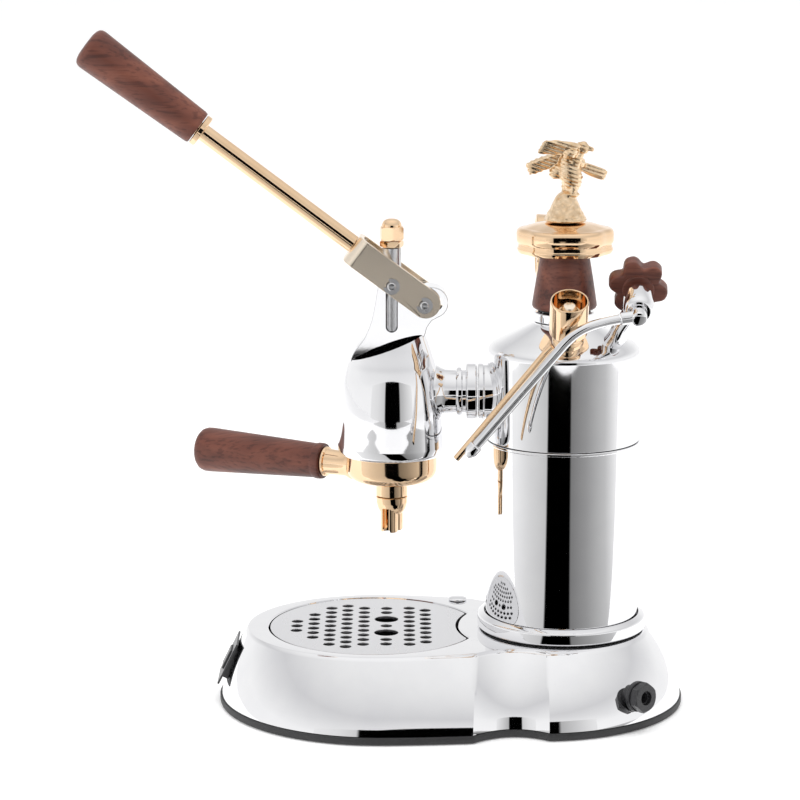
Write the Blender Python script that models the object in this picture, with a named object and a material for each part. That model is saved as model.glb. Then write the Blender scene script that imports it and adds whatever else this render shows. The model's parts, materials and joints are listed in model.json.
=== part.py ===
"""A manual lever espresso machine: footed base, boiler, lever group, steam valve and portafilter.

The machine stands on z = 0 and its front faces -X. Sizes are in millimetres, and the helpers
turn them into metres. The operator's right-hand side is -Y.
"""

import math

import bmesh
import bpy
from mathutils import Matrix, Vector

MM = 0.001
GAP = 0.35  # clearance kept between two pieces that touch or rest on each other
RUN = 0.4  # running clearance round a moving shaft

# Driving dimensions
BASE_TOP = 47.0
TRIM_TOP = 4.6
WALL = 1.8  # sheet thickness of the base
FRONT_X, FRONT_R = -1.4, 100.0
TOP_FRONT_X, TOP_FRONT_A, TOP_FRONT_B = -2.4, 82.3, 74.0
REAR_X, REAR_R = 97.0, 91.6
TOP_REAR_X, TOP_REAR_R = 107.0, 59.5
WAIST_FRONT = (55.6, 96.0)  # crease where the front lobe ends, at the foot
WAIST_DIP = (79.8, 83.3)
WAIST_REAR = (101.9, 91.4)
TOP_WAIST_FRONT = (58.4, 64.0)
TOP_WAIST_DIP = (79.0, 54.6)
TOP_WAIST_REAR = (101.9, 59.3)

TRAY_X = -5.0
TRAY_HOLE_R = 66.0
NOTCH_R = 64.8  # the base's plate keeps this radius round the boiler
TRAY_FLOOR = 7.0
GRID_THICK = 2.4

BOILER_X = 113.0
BOILER_R = 47.6
BOILER_WALL = 1.8
BOILER_FOOT = 28.0
SEAM_Z = 166.0
SHOULDER_Z = 223.0
NECK_Z = 241.4
NECK_R = 18.9
COLLAR_R = 52.8
COLLAR_TOP = 57.5

CAP_Z = 249.6
CAP_CONE_TOP = 283.6
CAP_DISC_R = 30.0
CAP_DISC_TOP = 299.8
CAP_DOME_TOP = 303.6

GROUP_X = 6.5
GROUP_FOOT = 158.2
CYLINDER_R = 25.2
GROUP_NECK_Z = 196.8
GROUP_NECK_R = 13.8
FIN_HALF = 8.4

PIN_R = 3.0
FRONT_PIN = (GROUP_X, 265.0)
REAR_PIN = (26.7, 253.2)
LEVER_TILT = math.radians(36.6)
ROD_TILT = math.radians(37.1)
ROD_R = 5.6
PLATE_DEPTH = 18.4
PLATE_THICK = 2.6
FORK_HALF = 11.8  # from the machine's middle to a fork plate's outer face
FORK_REACH = 33.2  # from the front pin to the fork's closed end

PORTAFILTER_TURN = math.radians(25.0)
PORTAFILTER_R = 28.2
HANDLE_Z = 148.4

VALVE_NEAR = Vector((154.3, -60.0, 254.7))
VALVE_FAR = Vector((157.0, -15.0, 268.0))
VALVE_AXIS = (VALVE_FAR - VALVE_NEAR).normalized()
STEAM_FOOT = (143.0, -27.0, 232.0)  # where the steam pipe screws into the boiler's cone
STEAM_FOOT_AXIS = (0.12, -0.1, 1)
SIGHT_Y = 61.0
SIGHT_X = 113.0
GAUGE_AT = (98.0, 65.0, 279.0)


def clear_scene():
    for obj in list(bpy.data.objects):
        bpy.data.objects.remove(obj, do_unlink=True)


def finish_material(name, colour, metallic, roughness):
    made = bpy.data.materials.new(name)
    made.use_nodes = True
    shader = made.node_tree.nodes["Principled BSDF"]
    shader.inputs["Base Color"].default_value = (*colour, 1.0)
    shader.inputs["Metallic"].default_value = metallic
    shader.inputs["Roughness"].default_value = roughness
    return made


def object_from(name, points, faces, material, smooth=35.0):
    """An object from points in millimetres, with its faces turned outwards."""
    mesh = bpy.data.meshes.new(name)
    work = bmesh.new()
    made = [work.verts.new([value * MM for value in point]) for point in points]
    for face in faces:
        if len(set(face)) > 2:
            work.faces.new([made[index] for index in face])
    bmesh.ops.recalc_face_normals(work, faces=work.faces)
    work.to_mesh(mesh)
    work.free()
    mesh.materials.append(material)
    mesh.shade_smooth()
    mesh.set_sharp_from_angle(angle=math.radians(smooth))
    obj = bpy.data.objects.new(name, mesh)
    bpy.context.scene.collection.objects.link(obj)
    return obj


def put(obj, at, axis=(0, 0, 1), turn=0.0):
    """Moves an object to a point in millimetres, with its own Z along an axis."""
    aim = Vector(axis).to_track_quat("Z", "Y").to_matrix().to_4x4()
    if tuple(axis) == (0, 0, 1):
        aim = Matrix.Identity(4)
    obj.matrix_world = Matrix.Translation(Vector(at) * MM) @ aim @ Matrix.Rotation(turn, 4, "Z")
    return obj


def turned(name, profile, material, sides=22, at=(0, 0, 0), axis=(0, 0, 1), turn=0.0):
    """A turned piece from (radius, height) points: solid if it starts on the axis, else a ring."""
    points, rows, faces = [], [], []
    for radius, height in profile:
        count = sides if radius > 0 else 1
        rows.append([len(points) + k for k in range(count)])
        for k in range(count):
            angle = 2 * math.pi * k / sides
            points.append((radius * math.cos(angle), radius * math.sin(angle), height))
    pairs = list(zip(rows, rows[1:]))
    if profile[0][0] > 0:
        pairs.append((rows[-1], rows[0]))
    for low, high in pairs:
        for k in range(sides):
            corners = [low[k % len(low)], low[(k + 1) % sides % len(low)]]
            corners += [high[(k + 1) % sides % len(high)], high[k % len(high)]]
            faces.append(list(dict.fromkeys(corners)))
    return put(object_from(name, points, faces, material), at, axis, turn)


def cylinder(name, radius, low, high, material, **where):
    return turned(name, [(0, low), (radius, low), (radius, high), (0, high)], material, **where)


def ring(name, inner, outer, low, high, material, **where):
    profile = [(inner, low), (outer, low), (outer, high), (inner, high)]
    return turned(name, profile, material, **where)


def prism(name, outline, low, high, material, at=(0, 0, 0), axis=(0, 0, 1), turn=0.0):
    """A flat outline pushed up from one height to another."""
    count = len(outline)
    points = [(x, y, low) for x, y in outline] + [(x, y, high) for x, y in outline]
    faces = [list(range(count))[::-1], [count + k for k in range(count)]]
    for k in range(count):
        faces.append([k, (k + 1) % count, count + (k + 1) % count, count + k])
    return put(object_from(name, points, faces, material), at, axis, turn)


def side_prism(name, outline, half, material):
    """An outline in the machine's X-Z plane, as thick as twice half along Y."""
    count = len(outline)
    points = [(x, -half, z) for x, z in outline] + [(x, half, z) for x, z in outline]
    faces = [list(range(count)), [count + k for k in range(count)][::-1]]
    for k in range(count):
        faces.append([k, (k + 1) % count, count + (k + 1) % count, count + k])
    return object_from(name, points, faces, material)


def arc(centre, radius, start, end, steps):
    """Points on an arc between two angles in degrees, both ends included."""
    found = []
    for k in range(steps + 1):
        angle = math.radians(start + (end - start) * k / steps)
        found.append((centre[0] + radius * math.cos(angle), centre[1] + radius * math.sin(angle)))
    return found


def polygon(sides, across_flats):
    radius = across_flats / 2 / math.cos(math.pi / sides)
    return arc((0, 0), radius, 0, 360 - 360 / sides, sides - 1)


def tube(name, route, radius, material, resolution=2):
    """A round bar along a smooth route of points, with closed ends."""
    curve = bpy.data.curves.new(name, "CURVE")
    curve.dimensions = "3D"
    curve.bevel_depth = radius * MM
    curve.bevel_resolution = resolution
    curve.use_fill_caps = True
    spline = curve.splines.new("POLY")
    spline.points.add(len(route) - 1)
    for point, place in zip(spline.points, route):
        point.co = (*(value * MM for value in place), 1.0)
    curve.materials.append(material)
    obj = bpy.data.objects.new(name, curve)
    bpy.context.scene.collection.objects.link(obj)
    return obj


def boolean(obj, tool, operation="DIFFERENCE"):
    """Cuts a tool out of an object, or joins it on; the tool itself isn't a piece."""
    tool.hide_render = True
    tool.display_type = "WIRE"
    modifier = obj.modifiers.new(tool.name, "BOOLEAN")
    modifier.operation = operation
    modifier.object = tool
    return obj


def join(obj, *tools):
    for tool in tools:
        boolean(obj, tool, "UNION")
    return obj


def smooth_route(points, steps=6):
    """Points on a Catmull-Rom curve through the given ones."""
    ends = [Vector(p) for p in points]
    padded = [2 * ends[0] - ends[1], *ends, 2 * ends[-1] - ends[-2]]
    found = []
    for a, b, c, d in zip(padded, padded[1:], padded[2:], padded[3:]):
        for k in range(steps):
            t = k / steps
            value = 2 * b + (c - a) * t + (2 * a - 5 * b + 4 * c - d) * t * t
            found.append((value + (3 * b - a - 3 * c + d) * t**3) / 2)
    return [*found, ends[-1]]


def base_outline(front_a, front_b, front_x, waist_front, dip, waist_rear, rear_x, rear_r):
    """One level of the base, from the front middle round one side to the rear middle."""
    half = []
    for k in range(12):
        angle = math.pi - math.pi / 2 * k / 12
        half.append((front_x + front_a * math.cos(angle), front_b * math.sin(angle)))
    for k in range(4):
        t = k / 4
        x = front_x + (waist_front[0] - front_x) * t
        half.append((x, front_b + (waist_front[1] - front_b) * t**1.7))
    for k in range(7):
        t = k / 6
        bend = 4 * t * (1 - t)
        x = waist_front[0] + (waist_rear[0] - waist_front[0]) * t
        level = waist_front[1] + (waist_rear[1] - waist_front[1]) * t
        middle = (waist_front[1] + waist_rear[1]) / 2
        half.append((x, level + (dip[1] - middle) * bend))
    start = math.atan2(waist_rear[1], waist_rear[0] - rear_x)
    for k in range(1, 12):
        angle = start * (1 - k / 12)
        half.append((rear_x + rear_r * math.cos(angle), rear_r * math.sin(angle)))
    rear = [(rear_x + rear_r, 0.0)]
    other = [(x, -y) for x, y in reversed(half[1:])]
    return half + rear + other


def foot_outline():
    return base_outline(
        FRONT_R, FRONT_R, FRONT_X, WAIST_FRONT, WAIST_DIP, WAIST_REAR, REAR_X, REAR_R
    )


def rim_outline():
    return base_outline(
        TOP_FRONT_A,
        TOP_FRONT_B,
        TOP_FRONT_X,
        TOP_WAIST_FRONT,
        TOP_WAIST_DIP,
        TOP_WAIST_REAR,
        TOP_REAR_X,
        TOP_REAR_R,
    )


def base_level(z):
    """The base's outline at a height: the wall leans in, faster towards the top."""
    level = []
    for (fx, fy), (rx, ry) in zip(foot_outline(), rim_outline()):
        power = 1.5 + 0.4 * min(max(fx / REAR_X, 0.0), 1.0)
        share = (z / BASE_TOP) ** power
        level.append((fx + (rx - fx) * share, fy + (ry - fy) * share))
    return level


def inset(outline, distance):
    """The outline moved inwards; the outline runs clockwise seen from above."""
    found = []
    count = len(outline)
    for k in range(count):
        before, here, after = (Vector(outline[(k + i) % count]) for i in (-1, 0, 1))
        along = (after - before).normalized()
        found.append((here.x + along.y * distance, here.y - along.x * distance))
    return found


def loft(name, levels, material):
    """A closed body through outlines of equal length, each (outline, height), ends filled."""
    count = len(levels[0][0])
    points = [(x, y, z) for outline, z in levels for x, y in outline]
    last = len(levels) - 1
    faces = [list(range(count)), [last * count + k for k in range(count)][::-1]]
    for row in range(last):
        for k in range(count):
            a, b = row * count + k, row * count + (k + 1) % count
            faces.append([a, b, b + count, a + count])
    return object_from(name, points, faces, material)


def notched_disc(radius, notch, steps=32):
    """A disc of the tray, with the boiler's round clearance taken out of its rear."""
    gap = BOILER_X - TRAY_X
    along = (gap**2 + radius**2 - notch**2) / (2 * gap)
    corner = math.degrees(math.acos(along / radius))
    bite = math.degrees(math.asin(radius * math.sin(math.radians(corner)) / notch))
    front = arc((TRAY_X, 0), radius, corner, 360 - corner, steps)
    rear = arc((BOILER_X, 0), notch, 180 + bite, 180 - bite, 10)
    return front + rear[1:-1]


def make_base(finish):
    outer = [(base_level(z), z) for z in (TRIM_TOP + GAP, 14, 24, 33, 41, BASE_TOP)]
    inner = [(inset(base_level(z), WALL), z) for z in (BASE_TOP - WALL, 33, 18, TRIM_TOP + GAP)]
    count = len(outer[0][0])
    levels = outer + inner
    points = [(x, y, z) for outline, z in levels for x, y in outline]
    faces = []
    for row in range(len(levels)):
        if row == len(outer) - 1:
            continue
        for k in range(count):
            a, b = row * count + k, row * count + (k + 1) % count
            low = (row + 1) % len(levels) * count
            faces.append([a, b, low + (k + 1) % count, low + k])
    top = (len(outer) - 1) * count
    faces.append([top + k for k in range(count)])
    faces.append([top + count + k for k in range(count)])
    shell = object_from("base_shell", points, faces, finish["chrome"], 28)
    tray_hole = prism(
        "tray_hole", notched_disc(TRAY_HOLE_R, NOTCH_R), BASE_TOP - 9, BASE_TOP + 9, finish["chrome"]
    )
    boiler_hole = cylinder("boiler_hole", 48.6, 30, 60, finish["chrome"], at=(BOILER_X, 0, 0))
    boolean(shell, tray_hole)
    boolean(shell, boiler_hole)
    boolean(shell, switch_cutter(finish))
    boolean(shell, gland_cutter(finish))
    stud_hole = cylinder("stud_hole", 2.4, 40, 55, finish["chrome"], sides=8, at=(49, 60, 0))
    boolean(shell, stud_hole)

    foot = foot_outline()
    trim_out = inset(foot, -0.6)
    rows = [(inset(foot, 0.2), 0.0), (trim_out, 1.2), (trim_out, TRIM_TOP)]
    rows += [(inset(foot, 3.0), TRIM_TOP), (inset(foot, 3.4), 0.0)]
    points = [(x, y, z) for outline, z in rows for x, y in outline]
    faces = []
    for row in range(len(rows)):
        for k in range(count):
            low = (row + 1) % len(rows) * count
            a, b = row * count + k, row * count + (k + 1) % count
            faces.append([a, b, low + (k + 1) % count, low + k])
    object_from("rubber_trim", points, faces, finish["rubber"])

    cover = loft("bottom_cover", [(inset(foot, 4.2), 1.0), (inset(foot, 4.2), 2.6)], finish["steel"])
    for number, (x, y) in enumerate(((-60, 0), (150, 0)), start=1):
        hole = cylinder(f"screw_hole_{number}", 2.6, -2, 6, finish["steel"], sides=8, at=(x, y, 0))
        boolean(cover, hole)
        profile = [(0, 0.2), (4.0, 0.2), (4.0, 0.65), (2.0, 0.65), (2.0, 5.6), (0, 5.6)]
        name = f"bottom_screw_{number}"
        turned(name, profile, finish["steel"], sides=8, at=(x, y, 0))

    stud = [(0, 44.0), (2.0, 44.0), (2.0, BASE_TOP + GAP), (6.0, BASE_TOP + GAP)]
    stud += [(6.0, 48.4), (4.8, 49.2), (0, 49.4)]
    turned("base_stud", stud, finish["chrome"], sides=16, at=(49, 60, 0))


GLAND_TURN = math.radians(-49.0)
GLAND_AXIS = (math.cos(GLAND_TURN), math.sin(GLAND_TURN), 0.06)
GLAND_AT = (REAR_X + 86.6 * math.cos(GLAND_TURN), 86.6 * math.sin(GLAND_TURN), 21.0)


def gland_cutter(finish):
    return cylinder(
        "gland_hole", 6.6, -12, 12, finish["black"], sides=14, at=GLAND_AT, axis=GLAND_AXIS
    )


def make_gland(finish):
    body = [(3.4, -9), (6.0, -9), (6.0, 2.6), (9.4, 2.6), (9.4, 5.6), (6.2, 5.6), (6.2, 9.4), (3.4, 9.4)]
    turned("cord_gland", body, finish["black"], sides=16, at=GLAND_AT, axis=GLAND_AXIS)
    nut = prism("gland_nut", polygon(6, 16.4), 6.0, 11.6, finish["black"], at=GLAND_AT, axis=GLAND_AXIS)
    bore = cylinder(
        "gland_nut_bore", 6.6, 5, 10.2, finish["black"], sides=14, at=GLAND_AT, axis=GLAND_AXIS
    )
    mouth = cylinder(
        "gland_nut_mouth", 4.4, 9, 14, finish["black"], sides=14, at=GLAND_AT, axis=GLAND_AXIS
    )
    boolean(boolean(nut, bore), mouth)


SWITCH_LEAN = math.radians(26.0)
SWITCH_AT = (-95.4, 0, 25.4)
SWITCH_AXIS = (-math.cos(SWITCH_LEAN), 0, math.sin(SWITCH_LEAN))


def switch_block(name, size, low, high, material):
    """A block that stands on the base's sloping front, square to it."""
    wide, tall = size
    outline = [(-tall / 2, -wide / 2), (tall / 2, -wide / 2), (tall / 2, wide / 2), (-tall / 2, wide / 2)]
    count = len(outline)
    out = Vector(SWITCH_AXIS)
    up = Vector((math.sin(SWITCH_LEAN), 0, math.cos(SWITCH_LEAN)))
    side = Vector((0, 1, 0))
    points = []
    for depth in (low, high):
        points += [Vector(SWITCH_AT) + up * u + side * v + out * depth for u, v in outline]
    faces = [list(range(count)), [count + k for k in range(count)]]
    for k in range(count):
        faces.append([k, (k + 1) % count, count + (k + 1) % count, count + k])
    return object_from(name, points, faces, material)


def switch_cutter(finish):
    return switch_block("switch_hole", (22.6, 20.6), -14, 14, finish["black"])


def make_switch(finish):
    housing = switch_block("switch_housing", (22, 20), -12, 1.0, finish["black"])
    plate = switch_block("switch_plate", (32, 28), 0.5, 1.7, finish["black"])
    join(housing, plate)
    boolean(housing, switch_block("switch_well", (16.4, 14.4), -9, 8, finish["black"]))
    rocker = switch_block("switch_rocker", (15.4, 12.8), -6.0, 3.0, finish["black"])
    rocker.modifiers.new("soft", "BEVEL").width = 0.6 * MM


def make_tray(finish):
    outline = notched_disc(TRAY_HOLE_R - 1.4, NOTCH_R + 1.4)
    low = notched_disc(TRAY_HOLE_R - 4.4, NOTCH_R + 4.4)
    tray = loft(
        "drip_tray", [(low, TRAY_FLOOR), (outline, TRAY_FLOOR + 3), (outline, 44.0)], finish["plastic"]
    )
    inside = notched_disc(TRAY_HOLE_R - 3.6, NOTCH_R + 3.6)
    inside_low = notched_disc(TRAY_HOLE_R - 6.4, NOTCH_R + 6.4)
    boolean(
        tray,
        loft(
            "tray_inside",
            [(inside_low, TRAY_FLOOR + 2), (inside, TRAY_FLOOR + 5), (inside, 50)],
            finish["plastic"],
        ),
    )
    low_z = BASE_TOP - GRID_THICK
    grid = prism(
        "drip_grid", notched_disc(TRAY_HOLE_R - 0.9, NOTCH_R + 1.6), low_z, BASE_TOP - 0.1, finish["satin"]
    )
    for index, y in enumerate((-15.5, 15.5)):
        hole = cylinder(f"grid_hole_{index}", 7.5, 40, 50, finish["satin"], sides=10, at=(3.0, y, 0))
        boolean(grid, hole)


def make_boiler(finish):
    ring(
        "boiler_collar", 48.2, COLLAR_R, BASE_TOP + GAP, COLLAR_TOP, finish["chrome"], sides=32,
        at=(BOILER_X, 0, 0),
    )
    bore = BOILER_R - BOILER_WALL
    lower = [(bore, BOILER_FOOT), (BOILER_R, BOILER_FOOT), (BOILER_R, SEAM_Z - 0.8)]
    lower += [(BOILER_R + 0.4, SEAM_Z), (BOILER_R + 0.4, SEAM_Z + 1.6), (bore, SEAM_Z + 1.6)]
    turned("boiler_lower_shell", lower, finish["chrome"], sides=32, at=(BOILER_X, 0, 0))

    low = SEAM_Z + 1.6 + GAP
    upper = [(bore, low), (BOILER_R - 0.2, low), (BOILER_R - 0.2, SHOULDER_Z)]
    upper += [(BOILER_R - 1.4, SHOULDER_Z + 3.0), (BOILER_R - 4.0, SHOULDER_Z + 5.4)]
    upper += [(NECK_R, NECK_Z - 0.6), (NECK_R - 2, NECK_Z), (13.0, NECK_Z), (13.0, NECK_Z - 3)]
    upper += [(bore - 2.5, SHOULDER_Z + 2.6), (bore, SHOULDER_Z - 0.5)]
    shell = turned("boiler_upper_shell", upper, finish["chrome"], sides=32, at=(BOILER_X, 0, 0))
    boss = cylinder(
        "group_boss", 17.9, -53.4, -44.0, finish["chrome"], sides=16,
        at=(BOILER_X, 0, GROUP_NECK_Z), axis=(1, 0, 0),
    )
    join(shell, boss)
    feed = cylinder(
        "feed_hole", 6.0, -60.0, -30.0, finish["chrome"], sides=10,
        at=(BOILER_X, 0, GROUP_NECK_Z), axis=(1, 0, 0),
    )
    boolean(shell, feed)
    for name, where, axis, radius in (
        ("relief_hole", RELIEF_FOOT, RELIEF_AXIS, 6.6),
        ("steam_hole", STEAM_FOOT, STEAM_FOOT_AXIS, 5.6),
    ):
        tool = cylinder(
            name, radius, -12.0, 8.0, finish["chrome"], sides=10, at=where, axis=axis
        )
        boolean(shell, tool)

    flange = [(0, BOILER_FOOT - 5), (40, BOILER_FOOT - 5), (40, BOILER_FOOT - 1), (0, BOILER_FOOT - 1)]
    element = turned("heating_element", flange, finish["brass"], sides=16, at=(BOILER_X, 0, 0))
    loop = [(BOILER_X - 14, 0, BOILER_FOOT - 3), (BOILER_X - 14, 0, 100), (BOILER_X - 9, 0, 112)]
    loop += [(BOILER_X, 0, 116), (BOILER_X + 9, 0, 112), (BOILER_X + 14, 0, 100)]
    loop += [(BOILER_X + 14, 0, BOILER_FOOT - 3)]
    bar = tube("element_loop", loop, 4.0, finish["brass"], resolution=1)
    join(element, mesh_copy(bar))
    ring(
        "boiler_ring_nut", BOILER_R + RUN, 52.0, 33.0, 41.0, finish["brass"], sides=32,
        at=(BOILER_X, 0, 0),
    )
    cylinder("pressurestat", 14.0, 5.0, 20.0, finish["brass"], sides=14, at=(BOILER_X - 8, 0, 0))
    ring(
        "neck_ring", 12.4, NECK_R, NECK_Z + GAP, CAP_Z - 1.8, finish["chrome"], sides=22,
        at=(BOILER_X, 0, 0),
    )


def mesh_copy(curve_object):
    """A mesh with the curve's shape, because a Boolean takes only a mesh."""
    graph = bpy.context.evaluated_depsgraph_get()
    mesh = bpy.data.meshes.new_from_object(curve_object.evaluated_get(graph))
    name = curve_object.name
    bpy.data.objects.remove(curve_object)
    work = bmesh.new()
    work.from_mesh(mesh)
    bmesh.ops.remove_doubles(work, verts=work.verts, dist=1e-6)
    bmesh.ops.recalc_face_normals(work, faces=work.faces)
    work.to_mesh(mesh)
    work.free()
    obj = bpy.data.objects.new(name, mesh)
    bpy.context.scene.collection.objects.link(obj)
    return obj


def scalloped(lobes, radius, depth, steps=8):
    """A wavy round outline whose lobes stand out to the radius."""
    found = []
    for k in range(lobes * steps):
        angle = 2 * math.pi * k / (lobes * steps)
        found.append(
            (
                (radius - depth * (1 - math.cos(lobes * angle)) / 2) * math.cos(angle),
                (radius - depth * (1 - math.cos(lobes * angle)) / 2) * math.sin(angle),
            )
        )
    return found


def make_cap(finish):
    at = (BOILER_X, 0, 0)
    ring("cap_gasket", 8.6, 16.0, CAP_Z - 1.8 + GAP, CAP_Z - GAP, finish["rubber"], sides=16, at=at)
    plug = [(0, NECK_Z - 6), (8.0, NECK_Z - 6), (8.0, CAP_DISC_TOP - 6), (0, CAP_DISC_TOP - 6)]
    turned("cap_plug", plug, finish["brass"], sides=14, at=at)
    cone = [(8.4, CAP_Z), (18.6, CAP_Z), (20.0, CAP_Z + 1.6), (19.9, CAP_Z + 4)]
    cone += [(15.0, CAP_CONE_TOP), (8.4, CAP_CONE_TOP)]
    turned("cap_cone", cone, finish["wood"], sides=22, at=at)
    low = CAP_CONE_TOP + GAP
    disc = prism(
        "cap_disc", scalloped(6, CAP_DISC_R, 1.6, 6), low, CAP_DISC_TOP, finish["gold"], at=at,
        turn=math.radians(15),
    )
    boolean(disc, cylinder("disc_bore", 8.4, low - 2, CAP_DISC_TOP - 5.6, finish["gold"], sides=14, at=at))
    dome = [(0, CAP_DISC_TOP - 1), (29.0, CAP_DISC_TOP - 1), (28.0, CAP_DISC_TOP + 1.0)]
    dome += [(16, CAP_DOME_TOP - 0.6), (0, CAP_DOME_TOP)]
    join(disc, turned("disc_dome", dome, finish["gold"], sides=16, at=at))
    make_finial(finish)


def ellipsoid(name, centre, size, material, turn=0.0, lean=0.0):
    """A rounded lump: size is its half-lengths, lean tips it about Y and turn spins it about Z."""
    mesh = bpy.data.meshes.new(name)
    work = bmesh.new()
    bmesh.ops.create_uvsphere(work, u_segments=10, v_segments=6, radius=1.0)
    work.to_mesh(mesh)
    work.free()
    mesh.materials.append(material)
    obj = bpy.data.objects.new(name, mesh)
    bpy.context.scene.collection.objects.link(obj)
    spin = Matrix.Rotation(turn, 4, "Z") @ Matrix.Rotation(lean, 4, "Y")
    scale = Matrix.Diagonal((*(value * MM for value in size), 1.0))
    obj.matrix_world = Matrix.Translation(Vector(centre) * MM) @ spin @ scale
    return obj


FINIAL = Vector((BOILER_X, 0, CAP_DOME_TOP))  # where the bird's rock stands


def make_finial(finish):
    """A plain bird with its wings out, standing on a rock: only its masses."""
    gold = finish["gold"]
    rock = [(0, 0.3), (13.4, 0.3), (13.4, 2.6), (11.6, 6.0), (9.0, 12.0), (5.6, 16.6), (0, 18.0)]
    bird = turned("bird_finial", rock, gold, sides=10, at=FINIAL)
    body = ellipsoid("bird_body", FINIAL + Vector((3.6, 0, 29)), (8.0, 7.0, 16.0), gold, 0, 0.35)
    head = ellipsoid("bird_head", FINIAL + Vector((12.2, -4.0, 45)), (7.0, 5.0, 5.6), gold)
    near = ellipsoid("bird_near_wing", FINIAL + Vector((-2.0, -11, 45)), (20, 5.6, 8.6), gold, 0.0, -0.12)
    tail = ellipsoid("bird_tail", FINIAL + Vector((-14.0, 3, 34)), (15.5, 7.0, 6.6), gold, 0, -0.3)
    far = ellipsoid("bird_far_wing", FINIAL + Vector((17.5, 8, 30)), (13.0, 4.5, 4.2), gold, 0.2, 0.42)
    join(bird, body, head, near, tail, far)


RELIEF_LEAN = math.radians(29.0)
RELIEF_FOOT = (BOILER_X, -39.0, 231.4)
RELIEF_AXIS = (0, -math.sin(RELIEF_LEAN), math.cos(RELIEF_LEAN))
RELIEF_REACH = 37.2


def make_relief(finish):
    gold = finish["gold"]
    top = RELIEF_REACH
    cup = [(0, -6), (6.2, -6), (6.2, 1.6), (9.2, 1.6), (9.2, 5.4), (7.2, 6.0), (7.2, 8.6)]
    cup += [(10.4, 10.6), (11.7, 12.6), (11.7, top), (10.5, top), (10.5, 20.0), (0, 20.0)]
    turned("relief_valve_cup", cup, gold, sides=18, at=RELIEF_FOOT, axis=RELIEF_AXIS)
    nut = prism(
        "relief_valve_nut", polygon(6, 14.0), 20.0 + GAP, 28.0, gold, at=RELIEF_FOOT, axis=RELIEF_AXIS
    )
    crown = [(0, 27.0), (7.0, 27.0), (6.2, 30.4), (3.6, 32.8), (0, 33.6)]
    join(nut, turned("relief_crown", crown, gold, sides=10, at=RELIEF_FOOT, axis=RELIEF_AXIS))
    tube(
        "overflow_tube", [(102.4, -61.4, 236.8), (97.0, -60.4, 230.6), (45.6, -55.0, 166.6)], 2.1, gold,
        resolution=1,
    )


def make_sight_glass(finish):
    """Level glass on the far side, with the pressure gauge on its top fitting."""
    y = SIGHT_Y
    for name, low, high in (("sight_lower_fitting", 84, 98), ("sight_upper_fitting", 204, 218)):
        middle = (low + high) / 2
        block = cylinder(name, 7.4, low, high, finish["gold"], sides=14, at=(SIGHT_X, y, 0))
        arm = cylinder(
            f"{name}_arm", 5.0, BOILER_R + 0.2, y - 3, finish["gold"], sides=10,
            at=(SIGHT_X, 0, middle), axis=(0, 1, 0),
        )
        join(block, arm)
        seat = cylinder(
            f"{name}_seat", 4.4, low - 4 if low > 100 else middle + 2, middle - 2 if low > 100 else high + 4,
            finish["gold"], sides=10, at=(SIGHT_X, y, 0),
        )
        boolean(block, seat)
        if name == "sight_upper_fitting":
            stem = [(SIGHT_X, y, high - 3), (SIGHT_X, y, 240), (109, y, 250), (105.4, y + 2.4, 257.0)]
            join(block, mesh_copy(tube("gauge_stem", smooth_route(stem, 3), 2.6, finish["gold"])))
    ring("sight_glass_tube", 2.8, 4.0, 94.2, 207.8, finish["glass"], sides=10, at=(SIGHT_X, y, 0))

    centre = GAUGE_AT
    front = (-1, 0, 0)
    case = [(0, -14.0), (17.0, -14.0), (19.0, -12.0), (20.0, -2.0), (20.0, 0.0), (17.6, 0.0)]
    case += [(17.6, -5.0), (0, -5.0)]
    turned("gauge_case", case, finish["gold"], sides=22, at=centre, axis=front)
    cylinder("gauge_lens", 17.2, -1.8, -0.6, finish["glass"], sides=22, at=centre, axis=front)
    needle = prism(
        "gauge_needle", [(-1.6, -1.2), (12.5, -0.3), (12.5, 0.3), (-1.6, 1.2)], -3.8, -3.0,
        finish["black"], at=centre, axis=front, turn=math.radians(-135),
    )
    needle.modifiers.new("soft", "BEVEL").width = 0.1 * MM


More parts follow.
